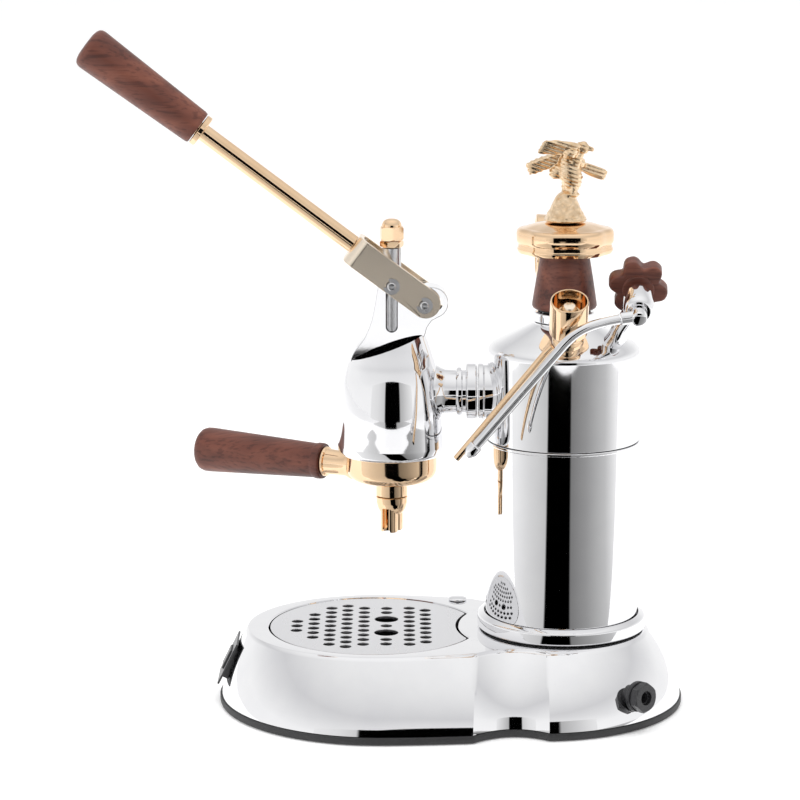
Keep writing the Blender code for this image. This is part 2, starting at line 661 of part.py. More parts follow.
def make_steam_valve(finish):
    """The valve's spindle leans up and away from the steam pipe's joint at its near end."""
    chrome = finish["chrome"]
    near = tuple(VALVE_NEAR)
    body = [(0, 5.6), (7.6, 5.6), (8.6, 7.4), (9.4, 14.0), (9.4, 24.0), (7.2, 27.0), (7.2, 30.0)]
    body += [(0, 30.0)]
    valve = turned("steam_valve_body", body, chrome, sides=18, at=near, axis=VALVE_AXIS)
    leg = [(143.9, -28.2, 237.0), (147.0, -33.6, 245.0), (153.6, -42.0, 256.4)]
    pipe = mesh_copy(tube("valve_leg", leg, 6.2, chrome, resolution=2))
    foot = cylinder(
        "valve_foot", 5.0, -9.0, 9.0, chrome, sides=10, at=STEAM_FOOT, axis=STEAM_FOOT_AXIS
    )
    join(valve, pipe, foot)
    spindle_hole = cylinder("spindle_hole", 3.4, 12.0, 34.0, chrome, sides=10, at=near, axis=VALVE_AXIS)
    boolean(valve, spindle_hole)
    cylinder("steam_spindle", 3.0, 13.0, 46.0, finish["steel"], sides=10, at=near, axis=VALVE_AXIS)
    knob = prism(
        "steam_knob", scalloped(6, 18.2, 4.6, 6), 36.5, 49.0, finish["wood"], at=near, axis=VALVE_AXIS,
        turn=math.radians(10),
    )
    hub = cylinder("knob_hub", 9.6, 34.6, 37.5, finish["wood"], sides=16, at=near, axis=VALVE_AXIS)
    join(knob, hub)
    boolean(
        knob, cylinder("knob_bore", 3.3, 30, 46.6, finish["wood"], sides=10, at=near, axis=VALVE_AXIS)
    )

    nut = turned(
        "wand_nut", [(0, -5.2), (3.4, -4.8), (4.9, -2.6), (4.9, 4.6), (4.4, 5.2), (0, 5.2)], chrome,
        sides=14, at=near, axis=VALVE_AXIS,
    )
    collar = cylinder(
        "wand_collar", 3.9, 2.0, 11.4, chrome, sides=14, at=near, axis=(-1, -0.12, -0.12)
    )
    join(nut, collar)
    tube("steam_wand", smooth_route(WAND_ROUTE, 4), 3.0, chrome)
    tip = Vector(WAND_ROUTE[-1])
    aim = (tip - Vector(WAND_ROUTE[-2])).normalized()
    nozzle = [(0, 0.35), (3.6, 0.35), (4.0, 1.4), (4.0, 5.0), (1.8, 9.0), (0, 9.2)]
    turned("wand_nozzle", nozzle, chrome, sides=14, at=tuple(tip), axis=aim)


WAND_ROUTE = [
    (142.4, -61.4, 253.2),
    (134.0, -63.0, 251.8),
    (125.0, -65.2, 249.6),
    (117.4, -66.4, 246.0),
    (110.8, -66.8, 240.4),
    (103.6, -67.0, 232.0),
    (80.0, -67.0, 204.2),
    (57.6, -67.0, 177.6),
]


BELL = [
    (29.0, 158.2), (31.0, 158.2), (33.2, 160.4), (33.7, 164.0), (33.3, 172.0), (32.5, 186.0),
    (30.6, 201.6), (28.1, 212.0), (26.2, 217.7), (23.4, 226.4), (20.4, 234.5), (17.0, 240.0),
]
SHOULDER_CUT = ((-19.5, 218.0), (27.1, 234.8))  # the sloping face that the fin stands on


def slot_outline(left, right, low, high):
    """A long hole with round ends, lying level."""
    radius = (high - low) / 2
    middle = (low + high) / 2
    return arc((right - radius, middle), radius, -90, 90, 6) + arc(
        (left + radius, middle), radius, 90, 270, 6
    )


def make_group(finish):
    at = (GROUP_X, 0, 0)
    inside = [(6.4, 240.0), (6.4, 213.0), (CYLINDER_R, 209.8), (CYLINDER_R, 167.0), (29.0, 167.0)]
    body = turned("group_body", BELL + inside, finish["chrome"], sides=28, at=at)
    (x0, z0), (x1, z1) = SHOULDER_CUT
    slope = (z1 - z0) / (x1 - x0)
    above = [(-60, z0 + slope * (-60 - x0)), (70, z0 + slope * (70 - x0)), (70, 300), (-60, 300)]
    boolean(body, side_prism("shoulder_cut", above, 60, finish["chrome"]))
    fin = [(-17.5, 215.6), (-19.0, 218.4), (-17.0, 223.3), (-13.5, 228.0), (-10.1, 232.8), (-6.4, 242.0)]
    fin += [(-4.4, 251.0), (-2.9, 260.0), (-1.6, 267.6), (-0.4, 268.6), (14.0, 268.6), (23.0, 265.0)]
    fin += arc((31.4, 254.0), 10.0, 90, -50, 8)
    fin += [(31.4, 243.0), (28.4, 238.6), (27.0, 234.0), (22.0, 226.0), (16.0, 215.6)]
    join(body, side_prism("fin", fin[::-1], FIN_HALF, finish["chrome"]))
    neck = cylinder(
        "group_neck", GROUP_NECK_R, 27.6, 52.7, finish["chrome"], sides=18,
        at=(GROUP_X, 0, GROUP_NECK_Z), axis=(1, 0, 0),
    )
    join(body, neck)
    boolean(body, cylinder("rod_bore", 6.4, 205.0, 290.0, finish["chrome"], sides=14, at=at))
    pin_slot = arc((GROUP_X, 239.3), 3.7, 180, 360, 6) + [(GROUP_X + 3.7, 290), (GROUP_X - 3.7, 290)]
    boolean(body, side_prism("pin_slot", pin_slot, 30, finish["chrome"]))
    boolean(body, side_prism("ear_slot", slot_outline(18.6, 38.0, 249.2, 258.6), 30, finish["chrome"]))
    feed = cylinder(
        "group_feed", 4.0, 20.0, 60.0, finish["chrome"], sides=8, at=(GROUP_X, 0, GROUP_NECK_Z),
        axis=(1, 0, 0),
    )
    boolean(body, feed)
    ring(
        "group_ring_nut", GROUP_NECK_R + RUN, 17.9, 45.5, 52.8, finish["chrome"], sides=18,
        at=(GROUP_X, 0, GROUP_NECK_Z), axis=(1, 0, 0),
    )
    ring("group_gasket", 22.5, 28.6, 161.7, 165.0, finish["rubber"], sides=18, at=at)
    cylinder("shower_screen", 28.4, 165.4, 166.5, finish["steel"], sides=18, at=at)


def make_piston(finish):
    at = (GROUP_X, 0, 0)
    steel = finish["steel"]
    head = [(0, 189.5), (24.4, 189.5), (24.4, 192.0), (21.6, 192.0), (21.6, 197.6), (24.4, 197.6)]
    head += [(24.4, 200.4), (0, 200.4)]
    turned("piston", head, steel, sides=18, at=at)
    ring("piston_seal", 22.0, 24.7, 192.4, 197.2, finish["rubber"], sides=18, at=at)
    rod = [(0, 200.8), (5.8, 200.8), (5.8, 287.2), (4.0, 287.6), (4.0, 299.0), (0, 299.0)]
    shaft = turned("piston_rod", rod, steel, sides=14, at=at)
    hole = cylinder(
        "rod_pin_hole", PIN_R + 0.3, -12, 12, steel, sides=10, at=(FRONT_PIN[0], 0, FRONT_PIN[1]),
        axis=(0, 1, 0),
    )
    boolean(shaft, hole)
    gold = finish["gold"]
    lock = prism("rod_lock_nut", polygon(6, 12.9), 287.9, 291.7, gold, at=at, turn=math.radians(10))
    boolean(lock, cylinder("lock_bore", 4.4, 280, 296, gold, sides=10, at=at))
    acorn = prism("acorn_nut", polygon(6, 13.7), 292.1, 300.4, gold, at=at, turn=math.radians(38))
    crown = [(0, 299.6), (6.85, 299.6), (6.4, 302.0), (4.6, 304.2), (2.4, 305.1), (0, 305.3)]
    join(acorn, turned("acorn_crown", crown, gold, sides=14, at=at))
    boolean(acorn, cylinder("acorn_bore", 4.4, 280, 299.8, gold, sides=10, at=at))


LEVER_OUT = Vector((-math.cos(LEVER_TILT), 0, math.sin(LEVER_TILT)))
ROD_OUT = Vector((-math.cos(ROD_TILT), 0, math.sin(ROD_TILT)))
LEVER_UP = Vector((math.sin(LEVER_TILT), 0, math.cos(LEVER_TILT)))
PLATE_LOW, PLATE_HIGH = -5.4, 12.9
ROD_LIFT = 5.4  # the lever rod's height above the front pin, square to the lever


def on_lever(out, up, y=0.0):
    point = Vector((FRONT_PIN[0], 0, FRONT_PIN[1])) + LEVER_OUT * out + LEVER_UP * up
    return (point.x, y, point.z)


def lever_frame(obj):
    """Lays an object drawn with X along the lever and Z across it onto the lever."""
    columns = [LEVER_OUT, Vector((0, -1, 0)), LEVER_UP]
    turn = Matrix(columns).transposed().to_4x4()
    obj.matrix_world = Matrix.Translation(Vector(on_lever(0, 0)) * MM) @ turn
    return obj


def make_lever(finish):
    gold = finish["gold"]
    inner = FORK_HALF - PLATE_THICK
    corner = 6.5
    outline = [(-34, -FORK_HALF)]
    outline += arc((FORK_REACH - corner, -FORK_HALF + corner), corner, -90, 0, 5)
    outline += arc((FORK_REACH - corner, FORK_HALF - corner), corner, 0, 90, 5)
    outline += [(-34, FORK_HALF), (-34, inner)]
    small = corner - PLATE_THICK
    end = FORK_REACH - 3.0
    outline += arc((end - small, inner - small), small, 90, 0, 4)
    outline += arc((end - small, -inner + small), small, 0, -90, 4)
    outline += [(-34, -inner)]
    fork = lever_frame(prism("lever_fork", outline, PLATE_LOW, PLATE_HIGH, gold))
    middle = (PLATE_LOW + PLATE_HIGH) / 2
    radius = (PLATE_HIGH - PLATE_LOW) / 2
    side = arc((-23.2, middle), radius + 0.05, 90, 270, 12) + [
        (40, PLATE_LOW - 0.05), (40, PLATE_HIGH + 0.05),
    ]
    modifier_tool = lever_frame(side_prism("fork_side", side, 30, gold))
    boolean(fork, modifier_tool, "INTERSECT")
    for name, (x, z) in (("front", FRONT_PIN), ("rear", REAR_PIN)):
        hole = cylinder(
            f"{name}_pin_hole", PIN_R + 0.3, -20, 20, gold, sides=10, at=(x, 0, z), axis=(0, 1, 0)
        )
        boolean(fork, hole)
        pin = [(0, -14.0), (4.6, -14.0), (4.6, -12.15), (PIN_R, -12.15), (PIN_R, 12.2), (2.1, 12.2)]
        pin += [(2.1, 13.1), (2.7, 13.3), (2.4, 14.3), (0, 14.5)]
        turned(f"{name}_pin", pin, finish["steel"], sides=10, at=(x, 0, z), axis=(0, -1, 0))
        clip = arc((0, 0), 5.1, 40, 320, 14) + arc((0, 0), 2.45, 320, 40, 10)
        prism(
            f"{name}_clip", clip, 12.3, 13.0, finish["steel"], at=(x, 0, z), axis=(0, -1, 0),
            turn=math.radians(150),
        )
    start = on_lever(FORK_REACH, ROD_LIFT)
    boolean(fork, cylinder("rod_seat", 3.6, -8, 6, gold, sides=10, at=start, axis=ROD_OUT))
    rod = [(0, -5.0), (3.2, -5.0), (3.2, GAP), (ROD_R, GAP), (ROD_R - 0.3, 114.6), (10.0, 114.8)]
    rod += [(10.2, 115.4), (10.2, 118.2), (4.4, 118.4), (4.4, 150.0), (0, 150.0)]
    turned("lever_rod", rod, gold, sides=14, at=start, axis=ROD_OUT)
    grip = [(0, 152.0), (4.8, 152.0), (4.8, 118.8), (10.6, 118.8), (11.2, 120.0), (13.6, 199.0)]
    grip += [(13.0, 201.4), (10.6, 203.0), (0, 204.2)]
    turned("lever_handle", grip, finish["wood"], sides=18, at=start, axis=ROD_OUT)


def make_portafilter(finish):
    gold = finish["gold"]
    at = (GROUP_X, 0, 0)
    bowl = [(0, 144.2), (26.4, 144.2), (26.4, 160.2), (28.2, 160.2), (28.2, 149.0), (27.0, 145.0)]
    bowl += [(23.4, 141.8), (16.0, 140.0), (9.9, 139.4), (9.9, 131.2), (0, 131.2)]
    cup = turned("portafilter_bowl", bowl, gold, sides=22, at=at)
    out = Vector((-math.cos(PORTAFILTER_TURN), math.sin(PORTAFILTER_TURN), 0))
    base = (GROUP_X, 0, HANDLE_Z)
    neck = [(0, 27.0), (8.0, 27.0), (8.0, 33.0), (8.3, 44.0), (8.3, 46.4), (4.0, 46.4), (4.0, 60.0), (0, 60.0)]
    join(cup, turned("portafilter_neck", neck, gold, sides=14, at=base, axis=out))
    boolean(cup, cylinder("outlet", 3.0, 120.0, 150.0, gold, sides=8, at=at))
    grip = [(0, 62.0), (4.4, 62.0), (4.4, 46.8), (10.6, 46.8), (11.4, 48.4), (11.4, 52.0), (10.9, 53.0)]
    grip += [(14.1, 127.4), (13.4, 131.0), (10.6, 134.0), (0, 135.4)]
    turned("portafilter_handle", grip, finish["wood"], sides=18, at=base, axis=out)

    basket = [(0, 146.2), (22.0, 146.2), (25.6, 148.0), (25.6, 160.55), (27.6, 160.55), (27.6, 161.3)]
    basket += [(24.8, 161.3), (24.8, 148.6), (21.6, 147.0), (0, 147.0)]
    turned("filter_basket", basket, finish["steel"], sides=18, at=at)

    spout = turned(
        "portafilter_spout",
        [(0, 130.8), (9.9, 130.8), (9.7, 127.0), (8.6, 123.0), (6.4, 120.0), (0, 119.0)],
        gold, sides=16, at=at,
    )
    side = Vector((out.y, -out.x, 0))
    for name, sign in (("near", 1), ("far", -1)):
        place = Vector(at) + side * (3.6 * sign)
        join(spout, cylinder(f"{name}_prong", 5.4, 108.6, 126.0, gold, sides=14, at=tuple(place)))
    for name, sign in (("near", 1), ("far", -1)):
        place = Vector(at) + side * (5.8 * sign)
        boolean(spout, cylinder(f"{name}_gutter", 3.6, 100.0, 124.0, gold, sides=10, at=tuple(place)))
    boolean(spout, cylinder("spout_inlet", 3.0, 122.0, 140.0, gold, sides=8, at=at))


def hang(joint, at, names):
    """Parents the pieces that move together to an empty on their joint's axis."""
    pivot = bpy.data.objects.new(joint, None)
    bpy.context.scene.collection.objects.link(pivot)
    pivot.location = Vector(at) * MM
    stay_put = Matrix.Translation(pivot.location).inverted()
    for name in names.split():
        piece = bpy.data.objects[name]
        piece.parent = pivot
        piece.matrix_parent_inverse = stay_put


def hang_moving_pieces():
    front_pin = (FRONT_PIN[0], 0, FRONT_PIN[1])
    hang("rocker_tilt", SWITCH_AT, "switch_rocker")
    hang("tray_lift", (TRAY_X, 0, TRAY_FLOOR), "drip_tray")
    hang("grid_lift", (TRAY_X, 0, BASE_TOP - GRID_THICK), "drip_grid")
    hang("cap_turn", (BOILER_X, 0, CAP_Z), "cap_gasket cap_plug cap_cone cap_disc bird_finial")
    hang("needle_swing", GAUGE_AT, "gauge_needle")
    hang("knob_turn", VALVE_NEAR, "steam_spindle steam_knob")
    hang("wand_swivel", VALVE_NEAR, "wand_nut steam_wand wand_nozzle")
    hang("piston_slide", (GROUP_X, 0, GROUP_FOOT), "piston piston_seal piston_rod rod_lock_nut acorn_nut")
    lever = "lever_fork lever_rod lever_handle front_pin rear_pin front_clip rear_clip"
    hang("lever_turn", front_pin, lever)
    grip = "portafilter_bowl filter_basket portafilter_spout portafilter_handle"
    hang("portafilter_turn", (GROUP_X, 0, HANDLE_Z), grip)


def main():
    clear_scene()
    finish = {
        "chrome": finish_material("chrome", (0.84, 0.84, 0.85), 1.0, 0.05),
        "gold": finish_material("rose_gold", (0.86, 0.66, 0.46), 1.0, 0.12),
        "satin": finish_material("satin_steel", (0.78, 0.78, 0.79), 1.0, 0.35),
        "steel": finish_material("steel", (0.62, 0.62, 0.63), 1.0, 0.25),
        "brass": finish_material("brass", (0.72, 0.55, 0.3), 1.0, 0.3),
        "wood": finish_material("dark_wood", (0.16, 0.055, 0.035), 0.0, 0.45),
        "rubber": finish_material("rubber", (0.03, 0.03, 0.03), 0.0, 0.7),
        "black": finish_material("black_plastic", (0.04, 0.04, 0.045), 0.0, 0.4),
        "plastic": finish_material("tray_plastic", (0.05, 0.05, 0.05), 0.0, 0.5),
        "glass": finish_material("clear_glass", (0.9, 0.95, 0.95), 0.0, 0.05),
    }
    make_base(finish)
    make_gland(finish)
    make_switch(finish)
    make_tray(finish)
    make_boiler(finish)
    make_cap(finish)
    make_relief(finish)
    make_sight_glass(finish)
    make_steam_valve(finish)
    make_group(finish)
    make_piston(finish)
    make_lever(finish)
    make_portafilter(finish)
    hang_moving_pieces()


main()
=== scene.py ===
# %% [markdown]
# # A manual lever espresso machine
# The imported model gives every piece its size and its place. This lesson keeps that frame, and puts
# fine, polished surfaces round it. Lengths below are in millimetres, turned to metres by MM.

# %% Load the frame
import json
import math

import bpy
from mathutils import Matrix, Vector, noise

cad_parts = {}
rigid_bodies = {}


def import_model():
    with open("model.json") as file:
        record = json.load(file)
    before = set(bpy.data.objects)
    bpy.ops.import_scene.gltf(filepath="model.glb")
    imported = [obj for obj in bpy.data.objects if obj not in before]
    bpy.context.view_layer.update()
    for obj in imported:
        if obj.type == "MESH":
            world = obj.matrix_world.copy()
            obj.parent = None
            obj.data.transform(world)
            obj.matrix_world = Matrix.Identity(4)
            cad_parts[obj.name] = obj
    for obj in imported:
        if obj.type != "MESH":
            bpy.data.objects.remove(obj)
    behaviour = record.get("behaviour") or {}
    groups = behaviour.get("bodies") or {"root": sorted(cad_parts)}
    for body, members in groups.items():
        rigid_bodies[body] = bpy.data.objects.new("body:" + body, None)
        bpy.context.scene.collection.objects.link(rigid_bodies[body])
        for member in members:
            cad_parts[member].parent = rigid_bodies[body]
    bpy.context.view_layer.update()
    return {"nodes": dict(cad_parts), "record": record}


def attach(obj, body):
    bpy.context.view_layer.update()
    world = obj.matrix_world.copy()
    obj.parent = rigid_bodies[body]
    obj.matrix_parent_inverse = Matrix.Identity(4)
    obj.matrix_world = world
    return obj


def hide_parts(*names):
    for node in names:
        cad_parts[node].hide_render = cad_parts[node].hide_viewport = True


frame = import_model()
MM = 0.001
BODY_OF = {node: body for body, nodes in frame["record"]["behaviour"]["bodies"].items() for node in nodes}
SLOT_OF = {row["node"]: row["material_slot"] for row in frame["record"]["subparts"]}

# %% [markdown]
# ## The finishes
# Plated metal is never one flat value: polishing leaves faint swirls, so the roughness wanders a
# little and a very fine bump breaks the reflection. The same recipe with other numbers gives the
# chrome, the rose gold and the satin steel.

# %% Plated metals
FINISH = {}


def new_finish(name, colour, metallic=0.0, roughness=0.4):
    """A named material; returns its nodes and its shader."""
    made = bpy.data.materials.new(name)
    made.use_nodes = True
    shader = made.node_tree.nodes["Principled BSDF"]
    shader.inputs["Base Color"].default_value = (*colour, 1.0)
    shader.inputs["Metallic"].default_value = metallic
    shader.inputs["Roughness"].default_value = roughness
    FINISH[name] = made
    return made.node_tree, shader


def texture(tree, kind, scale, stretch=(1, 1, 1), turn=(0, 0, 0), **values):
    """A texture node on the piece's own coordinates, stretched by a mapping."""
    place = tree.nodes.new("ShaderNodeTexCoord")
    mapping = tree.nodes.new("ShaderNodeMapping")
    mapping.inputs["Rotation"].default_value = turn
    mapping.inputs["Scale"].default_value = stretch
    node = tree.nodes.new(kind)
    node.inputs["Scale"].default_value = scale
    for key, value in values.items():
        node.inputs[key].default_value = value
    tree.links.new(place.outputs["Object"], mapping.inputs["Vector"])
    tree.links.new(mapping.outputs["Vector"], node.inputs["Vector"])
    return node


def spread(tree, source, low, high):
    """Turns a texture's 0 to 1 into a narrow range."""
    node = tree.nodes.new("ShaderNodeMapRange")
    node.inputs["To Min"].default_value = low
    node.inputs["To Max"].default_value = high
    tree.links.new(source, node.inputs["Value"])
    return node.outputs["Result"]


def ramp(tree, source, stops):
    """Colours by a value: each stop is a place from 0 to 1 and a colour."""
    node = tree.nodes.new("ShaderNodeValToRGB")
    marks = node.color_ramp.elements
    while len(marks) < len(stops):
        marks.new(0.5)
    for mark, (place, colour) in zip(marks, stops):
        mark.position = place
        mark.color = (*colour, 1.0)
    tree.links.new(source, node.inputs["Fac"])
    return node.outputs["Color"]


def bump(tree, shader, source, strength, depth):
    """A fine relief, `depth` metres deep."""
    node = tree.nodes.new("ShaderNodeBump")
    node.inputs["Strength"].default_value = strength
    node.inputs["Distance"].default_value = depth
    tree.links.new(source, node.inputs["Height"])
    tree.links.new(node.outputs["Normal"], shader.inputs["Normal"])


FINE_RELIEF = 0.0002
FIBRE_RELIEF = 0.0003


def plated(name, light, dark, roughness, grain=60.0, stretch=(1, 1, 1), strength=0.02, wander=0.3):
    """Polished or satin plate: `wander` is how far the gloss drifts either way."""
    tree, shader = new_finish(name, light, 1.0, roughness)
    swirl = texture(tree, "ShaderNodeTexNoise", grain, stretch, Detail=4.0)
    rough = spread(tree, swirl.outputs["Fac"], roughness * (1 - wander), roughness * (1 + wander))
    tree.links.new(rough, shader.inputs["Roughness"])
    tint = ramp(tree, swirl.outputs["Fac"], [(0.3, dark), (0.7, light)])
    tree.links.new(tint, shader.inputs["Base Color"])
    bump(tree, shader, swirl.outputs["Fac"], strength, FINE_RELIEF)


plated("chrome", (0.86, 0.86, 0.87), (0.83, 0.83, 0.845), 0.035)
plated("rose_gold", (0.92, 0.67, 0.44), (0.88, 0.62, 0.39), 0.08)
plated("satin_gold", (0.93, 0.82, 0.68), (0.92, 0.80, 0.65), 0.24, 900, (0.3, 1, 1), 0.004, 0.05)
plated("cast_gold", (0.92, 0.72, 0.50), (0.78, 0.55, 0.33), 0.2, 240, (1, 1, 1), 0.25)
plated("satin_steel", (0.80, 0.80, 0.815), (0.75, 0.75, 0.765), 0.3, 180, (1, 0.08, 1), 0.06)
plated("satin_chrome", (0.80, 0.80, 0.82), (0.76, 0.76, 0.78), 0.24, 160, (1, 1, 0.1), 0.05)
plated("steel", (0.68, 0.68, 0.69), (0.60, 0.60, 0.61), 0.22, 140)
plated("brass", (0.74, 0.56, 0.30), (0.64, 0.47, 0.24), 0.3, 120)

# %% [markdown]
# Dark hardwood shows long fibres. Noise stretched along the handle gives the colour streaks, a
# second and finer one gives the open pores, and both also move the gloss and the surface a little.
# Each handle lies in its own direction, so the pattern is turned to follow it.

# %% Wood that follows its handle


def wood(name, turn):
    """Hardwood whose fibres run along X once the pattern is turned by `turn`."""
    tree, shader = new_finish(name, (0.16, 0.05, 0.03), 0.0, 0.42)
    streak = texture(tree, "ShaderNodeTexNoise", 90, (0.08, 1, 1), turn, Detail=6.0, Distortion=0.6)
    pores = texture(tree, "ShaderNodeTexNoise", 620, (0.07, 1, 1), turn, Detail=3.0)
    ring = texture(tree, "ShaderNodeTexWave", 26, (0.16, 1, 0.5), turn, Distortion=5.0, Detail=3.0)
    dark, mid, light = (0.075, 0.019, 0.011), (0.14, 0.038, 0.021), (0.21, 0.064, 0.035)
    base = ramp(tree, streak.outputs["Fac"], [(0.28, dark), (0.5, mid), (0.74, light)])
    lines = ramp(tree, ring.outputs["Fac"], [(0.0, (0.8, 0.74, 0.72)), (0.55, (1.0, 1.0, 1.0))])
    fleck = ramp(tree, pores.outputs["Fac"], [(0.36, (0.5, 0.42, 0.4)), (0.5, (1.0, 1.0, 1.0))])
    for share, over in ((0.8, lines), (0.75, fleck)):
        layer = tree.nodes.new("ShaderNodeMix")
        layer.data_type, layer.blend_type = "RGBA", "MULTIPLY"
        layer.inputs[0].default_value = share
        tree.links.new(base, layer.inputs[6])
        tree.links.new(over, layer.inputs[7])
        base = layer.outputs[2]
    tree.links.new(base, shader.inputs["Base Color"])
    tree.links.new(spread(tree, pores.outputs["Fac"], 0.5, 0.34), shader.inputs["Roughness"])
    bump(tree, shader, pores.outputs["Fac"], 0.22, FIBRE_RELIEF)


LEVER_TILT = math.radians(36.6)
ROD_TILT = math.radians(37.1)
HANDLE_TURN = math.radians(25.0)
wood("lever_wood", (0, -ROD_TILT, 0))
wood("level_wood", (0, 0, HANDLE_TURN))
wood("upright_wood", (0, math.radians(90), 0))
wood("dark_wood", (0, 0, 0))


def matt(name, colour, roughness, grain):
    """Rubber, moulded plastic or paint, with a fine speckle."""
    tree, shader = new_finish(name, colour, 0.0, roughness)
    speck = texture(tree, "ShaderNodeTexNoise", grain, Detail=3.0)
    shade = tuple(value * 1.5 for value in colour)
    tint = ramp(tree, speck.outputs["Fac"], [(0.35, colour), (0.7, shade)])
    tree.links.new(tint, shader.inputs["Base Color"])
    rough = spread(tree, speck.outputs["Fac"], roughness * 0.85, roughness * 1.15)
    tree.links.new(rough, shader.inputs["Roughness"])
    bump(tree, shader, speck.outputs["Fac"], 0.12, FINE_RELIEF)


matt("rubber", (0.02, 0.02, 0.021), 0.55, 900)
matt("black_plastic", (0.022, 0.022, 0.024), 0.32, 700)
matt("dial_white", (0.62, 0.6, 0.56), 0.5, 300)
tree, shader = new_finish("glass", (0.95, 0.98, 0.98), 0.0, 0.03)
shader.inputs["Transmission Weight"].default_value = 1.0
shader.inputs["IOR"].default_value = 1.47
haze = texture(tree, "ShaderNodeTexNoise", 120)
tree.links.new(spread(tree, haze.outputs["Fac"], 0.02, 0.05), shader.inputs["Roughness"])
print("finishes:", ", ".join(FINISH))

# %% [markdown]
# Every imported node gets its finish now. Those that a finer piece stands for are hidden later.

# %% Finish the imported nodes
for node, piece in frame["nodes"].items():
    piece.data.materials.clear()
    piece.data.materials.append(FINISH[SLOT_OF[node]])

# %% [markdown]
# ## Turned pieces
# Bowls, caps, nuts and handles are turned on a lathe, so here one drawn profile is spun round an
# axis. The profile starts as a plane merged to one point, which is extruded from corner to corner.

# %% A lathe for profiles
MADE = []
FINE = 128


def clear_choice():
    """Leaves edit mode and selects nothing."""
    if bpy.context.object and bpy.context.object.mode != "OBJECT":
        bpy.ops.object.mode_set(mode="OBJECT")
    bpy.ops.object.select_all(action="DESELECT")


def choose(*pieces):
    """Selects these pieces only, and makes the first one active."""
    clear_choice()
    bpy.context.view_layer.objects.active = pieces[0]
    for piece in pieces:
        piece.select_set(True)


def bake_place(piece):
    """Puts the object's place into its mesh, so the object sits at the origin."""
    choose(piece)
    bpy.ops.object.transform_apply(location=True, rotation=True, scale=True)


def add_modifier(piece, kind, **values):
    """Applies a modifier with these settings at once."""
    choose(piece)
    made = piece.modifiers.new(kind, kind)
    for key, value in values.items():
        setattr(made, key, value)
    bpy.ops.object.modifier_apply(modifier=made.name)


def settle(piece, name, finish, nodes=(), body=None, smooth=35):
    """Names a finished piece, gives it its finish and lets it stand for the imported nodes."""
    bake_place(piece)
    name = name.replace(" ", "_")
    piece.name = name + "_piece" if name in frame["nodes"] else name
    piece.data.materials.clear()
    piece.data.materials.append(FINISH[finish])
    if smooth:
        bpy.ops.object.shade_smooth_by_angle(angle=math.radians(smooth))
        add_modifier(piece, "WEIGHTED_NORMAL", keep_sharp=True)
    else:
        bpy.ops.object.shade_flat()
    nodes = [nodes] if isinstance(nodes, str) else list(nodes)
    if nodes:
        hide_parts(*nodes)
    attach(piece, body or BODY_OF[nodes[0]])
    MADE.append(piece.name)
    print(piece.name, "has", len(piece.data.polygons), "faces")
    return piece


def one_point(at):
    """A mesh object in edit mode that holds one selected vertex."""
    clear_choice()
    bpy.ops.mesh.primitive_plane_add(size=0.01, location=(0, 0, 0))
    piece = bpy.context.object
    bpy.ops.object.mode_set(mode="EDIT")
    bpy.ops.mesh.merge(type="CENTER")
    bpy.ops.transform.translate(value=Vector(at) * MM)
    return piece


def draw(points):
    """Extrudes the chosen vertex through the points; the first is where it already is."""
    for a, b in zip(points, points[1:]):
        step = (Vector(b) - Vector(a)) * MM
        bpy.ops.mesh.extrude_region_move(TRANSFORM_OT_translate={"value": step})


def heal(merge=0.00001):
    """Merges doubled points, turns all faces outwards and leaves edit mode."""
    bpy.ops.mesh.select_all(action="SELECT")
    bpy.ops.mesh.remove_doubles(threshold=merge)
    bpy.ops.mesh.normals_make_consistent(inside=False)
    bpy.ops.object.mode_set(mode="OBJECT")


def lay(piece, at, axis):
    """Stands a piece that was made along Z on its own axis."""
    turn = Vector((0, 0, 1)).rotation_difference(Vector(axis)).to_matrix().to_4x4()
    piece.data.transform(Matrix.Translation(Vector(at) * MM) @ turn)


def lathe(profile, at=(0, 0, 0), axis=(0, 0, 1), steps=FINE):
    """A turned solid: the profile is (radius, height) pairs round the axis through `at`."""
    points = [(radius, 0, height) for radius, height in profile]
    piece = one_point(points[0])
    draw(points)
    bpy.ops.mesh.select_all(action="SELECT")
    bpy.ops.mesh.spin(steps=steps, angle=math.tau, center=(0, 0, 0), axis=(0, 0, 1))
    heal()
    lay(piece, at, axis)
    return piece


def soften(piece, width, segments=3, angle=30):
    """Rounds the hard edges, as polishing does."""
    add_modifier(piece, "BEVEL", width=width * MM, segments=segments, limit_method="ANGLE",
                 angle_limit=math.radians(angle))
    return piece


def turned(name, profile, finish, nodes=(), at=(0, 0, 0), axis=(0, 0, 1), edge=0.4, steps=FINE,
           body=None):
    """A finished turned piece; `edge` rounds its sharp corners."""
    piece = lathe(profile, at, axis, steps)
    if edge:
        soften(piece, edge)
    return settle(piece, name, finish, nodes, body)


print("the lathe spins a profile in", FINE, "steps")

# %% [markdown]
# ## The footed base
# The base is one drawn sheet: a wide front lobe under the tray, a round rear lobe under the boiler
# and a pinched waist between them. A skin over a stack of outlines keeps its creases in line. A
# grid primitive gives the mesh, and each of its points then moves to its place on the outlines.

# %% A skin over outlines
def skin(rings, closed_stack=False):
    """Covers a stack of closed outlines, all with the same number of points."""
    if closed_stack:
        rings = [*rings, rings[0]]
    around, rows = len(rings[0]), len(rings) - 1
    clear_choice()
    bpy.ops.mesh.primitive_grid_add(x_subdivisions=around, y_subdivisions=rows, size=2,
        location=(0, 0, 0))
    piece = bpy.context.object
    for vertex in piece.data.vertices:
        k = round((vertex.co.x + 1) / 2 * around) % around
        row = round((vertex.co.y + 1) / 2 * rows)
        vertex.co = Vector(rings[row][k]) * MM
    bpy.ops.object.mode_set(mode="EDIT")
    heal()
    return piece


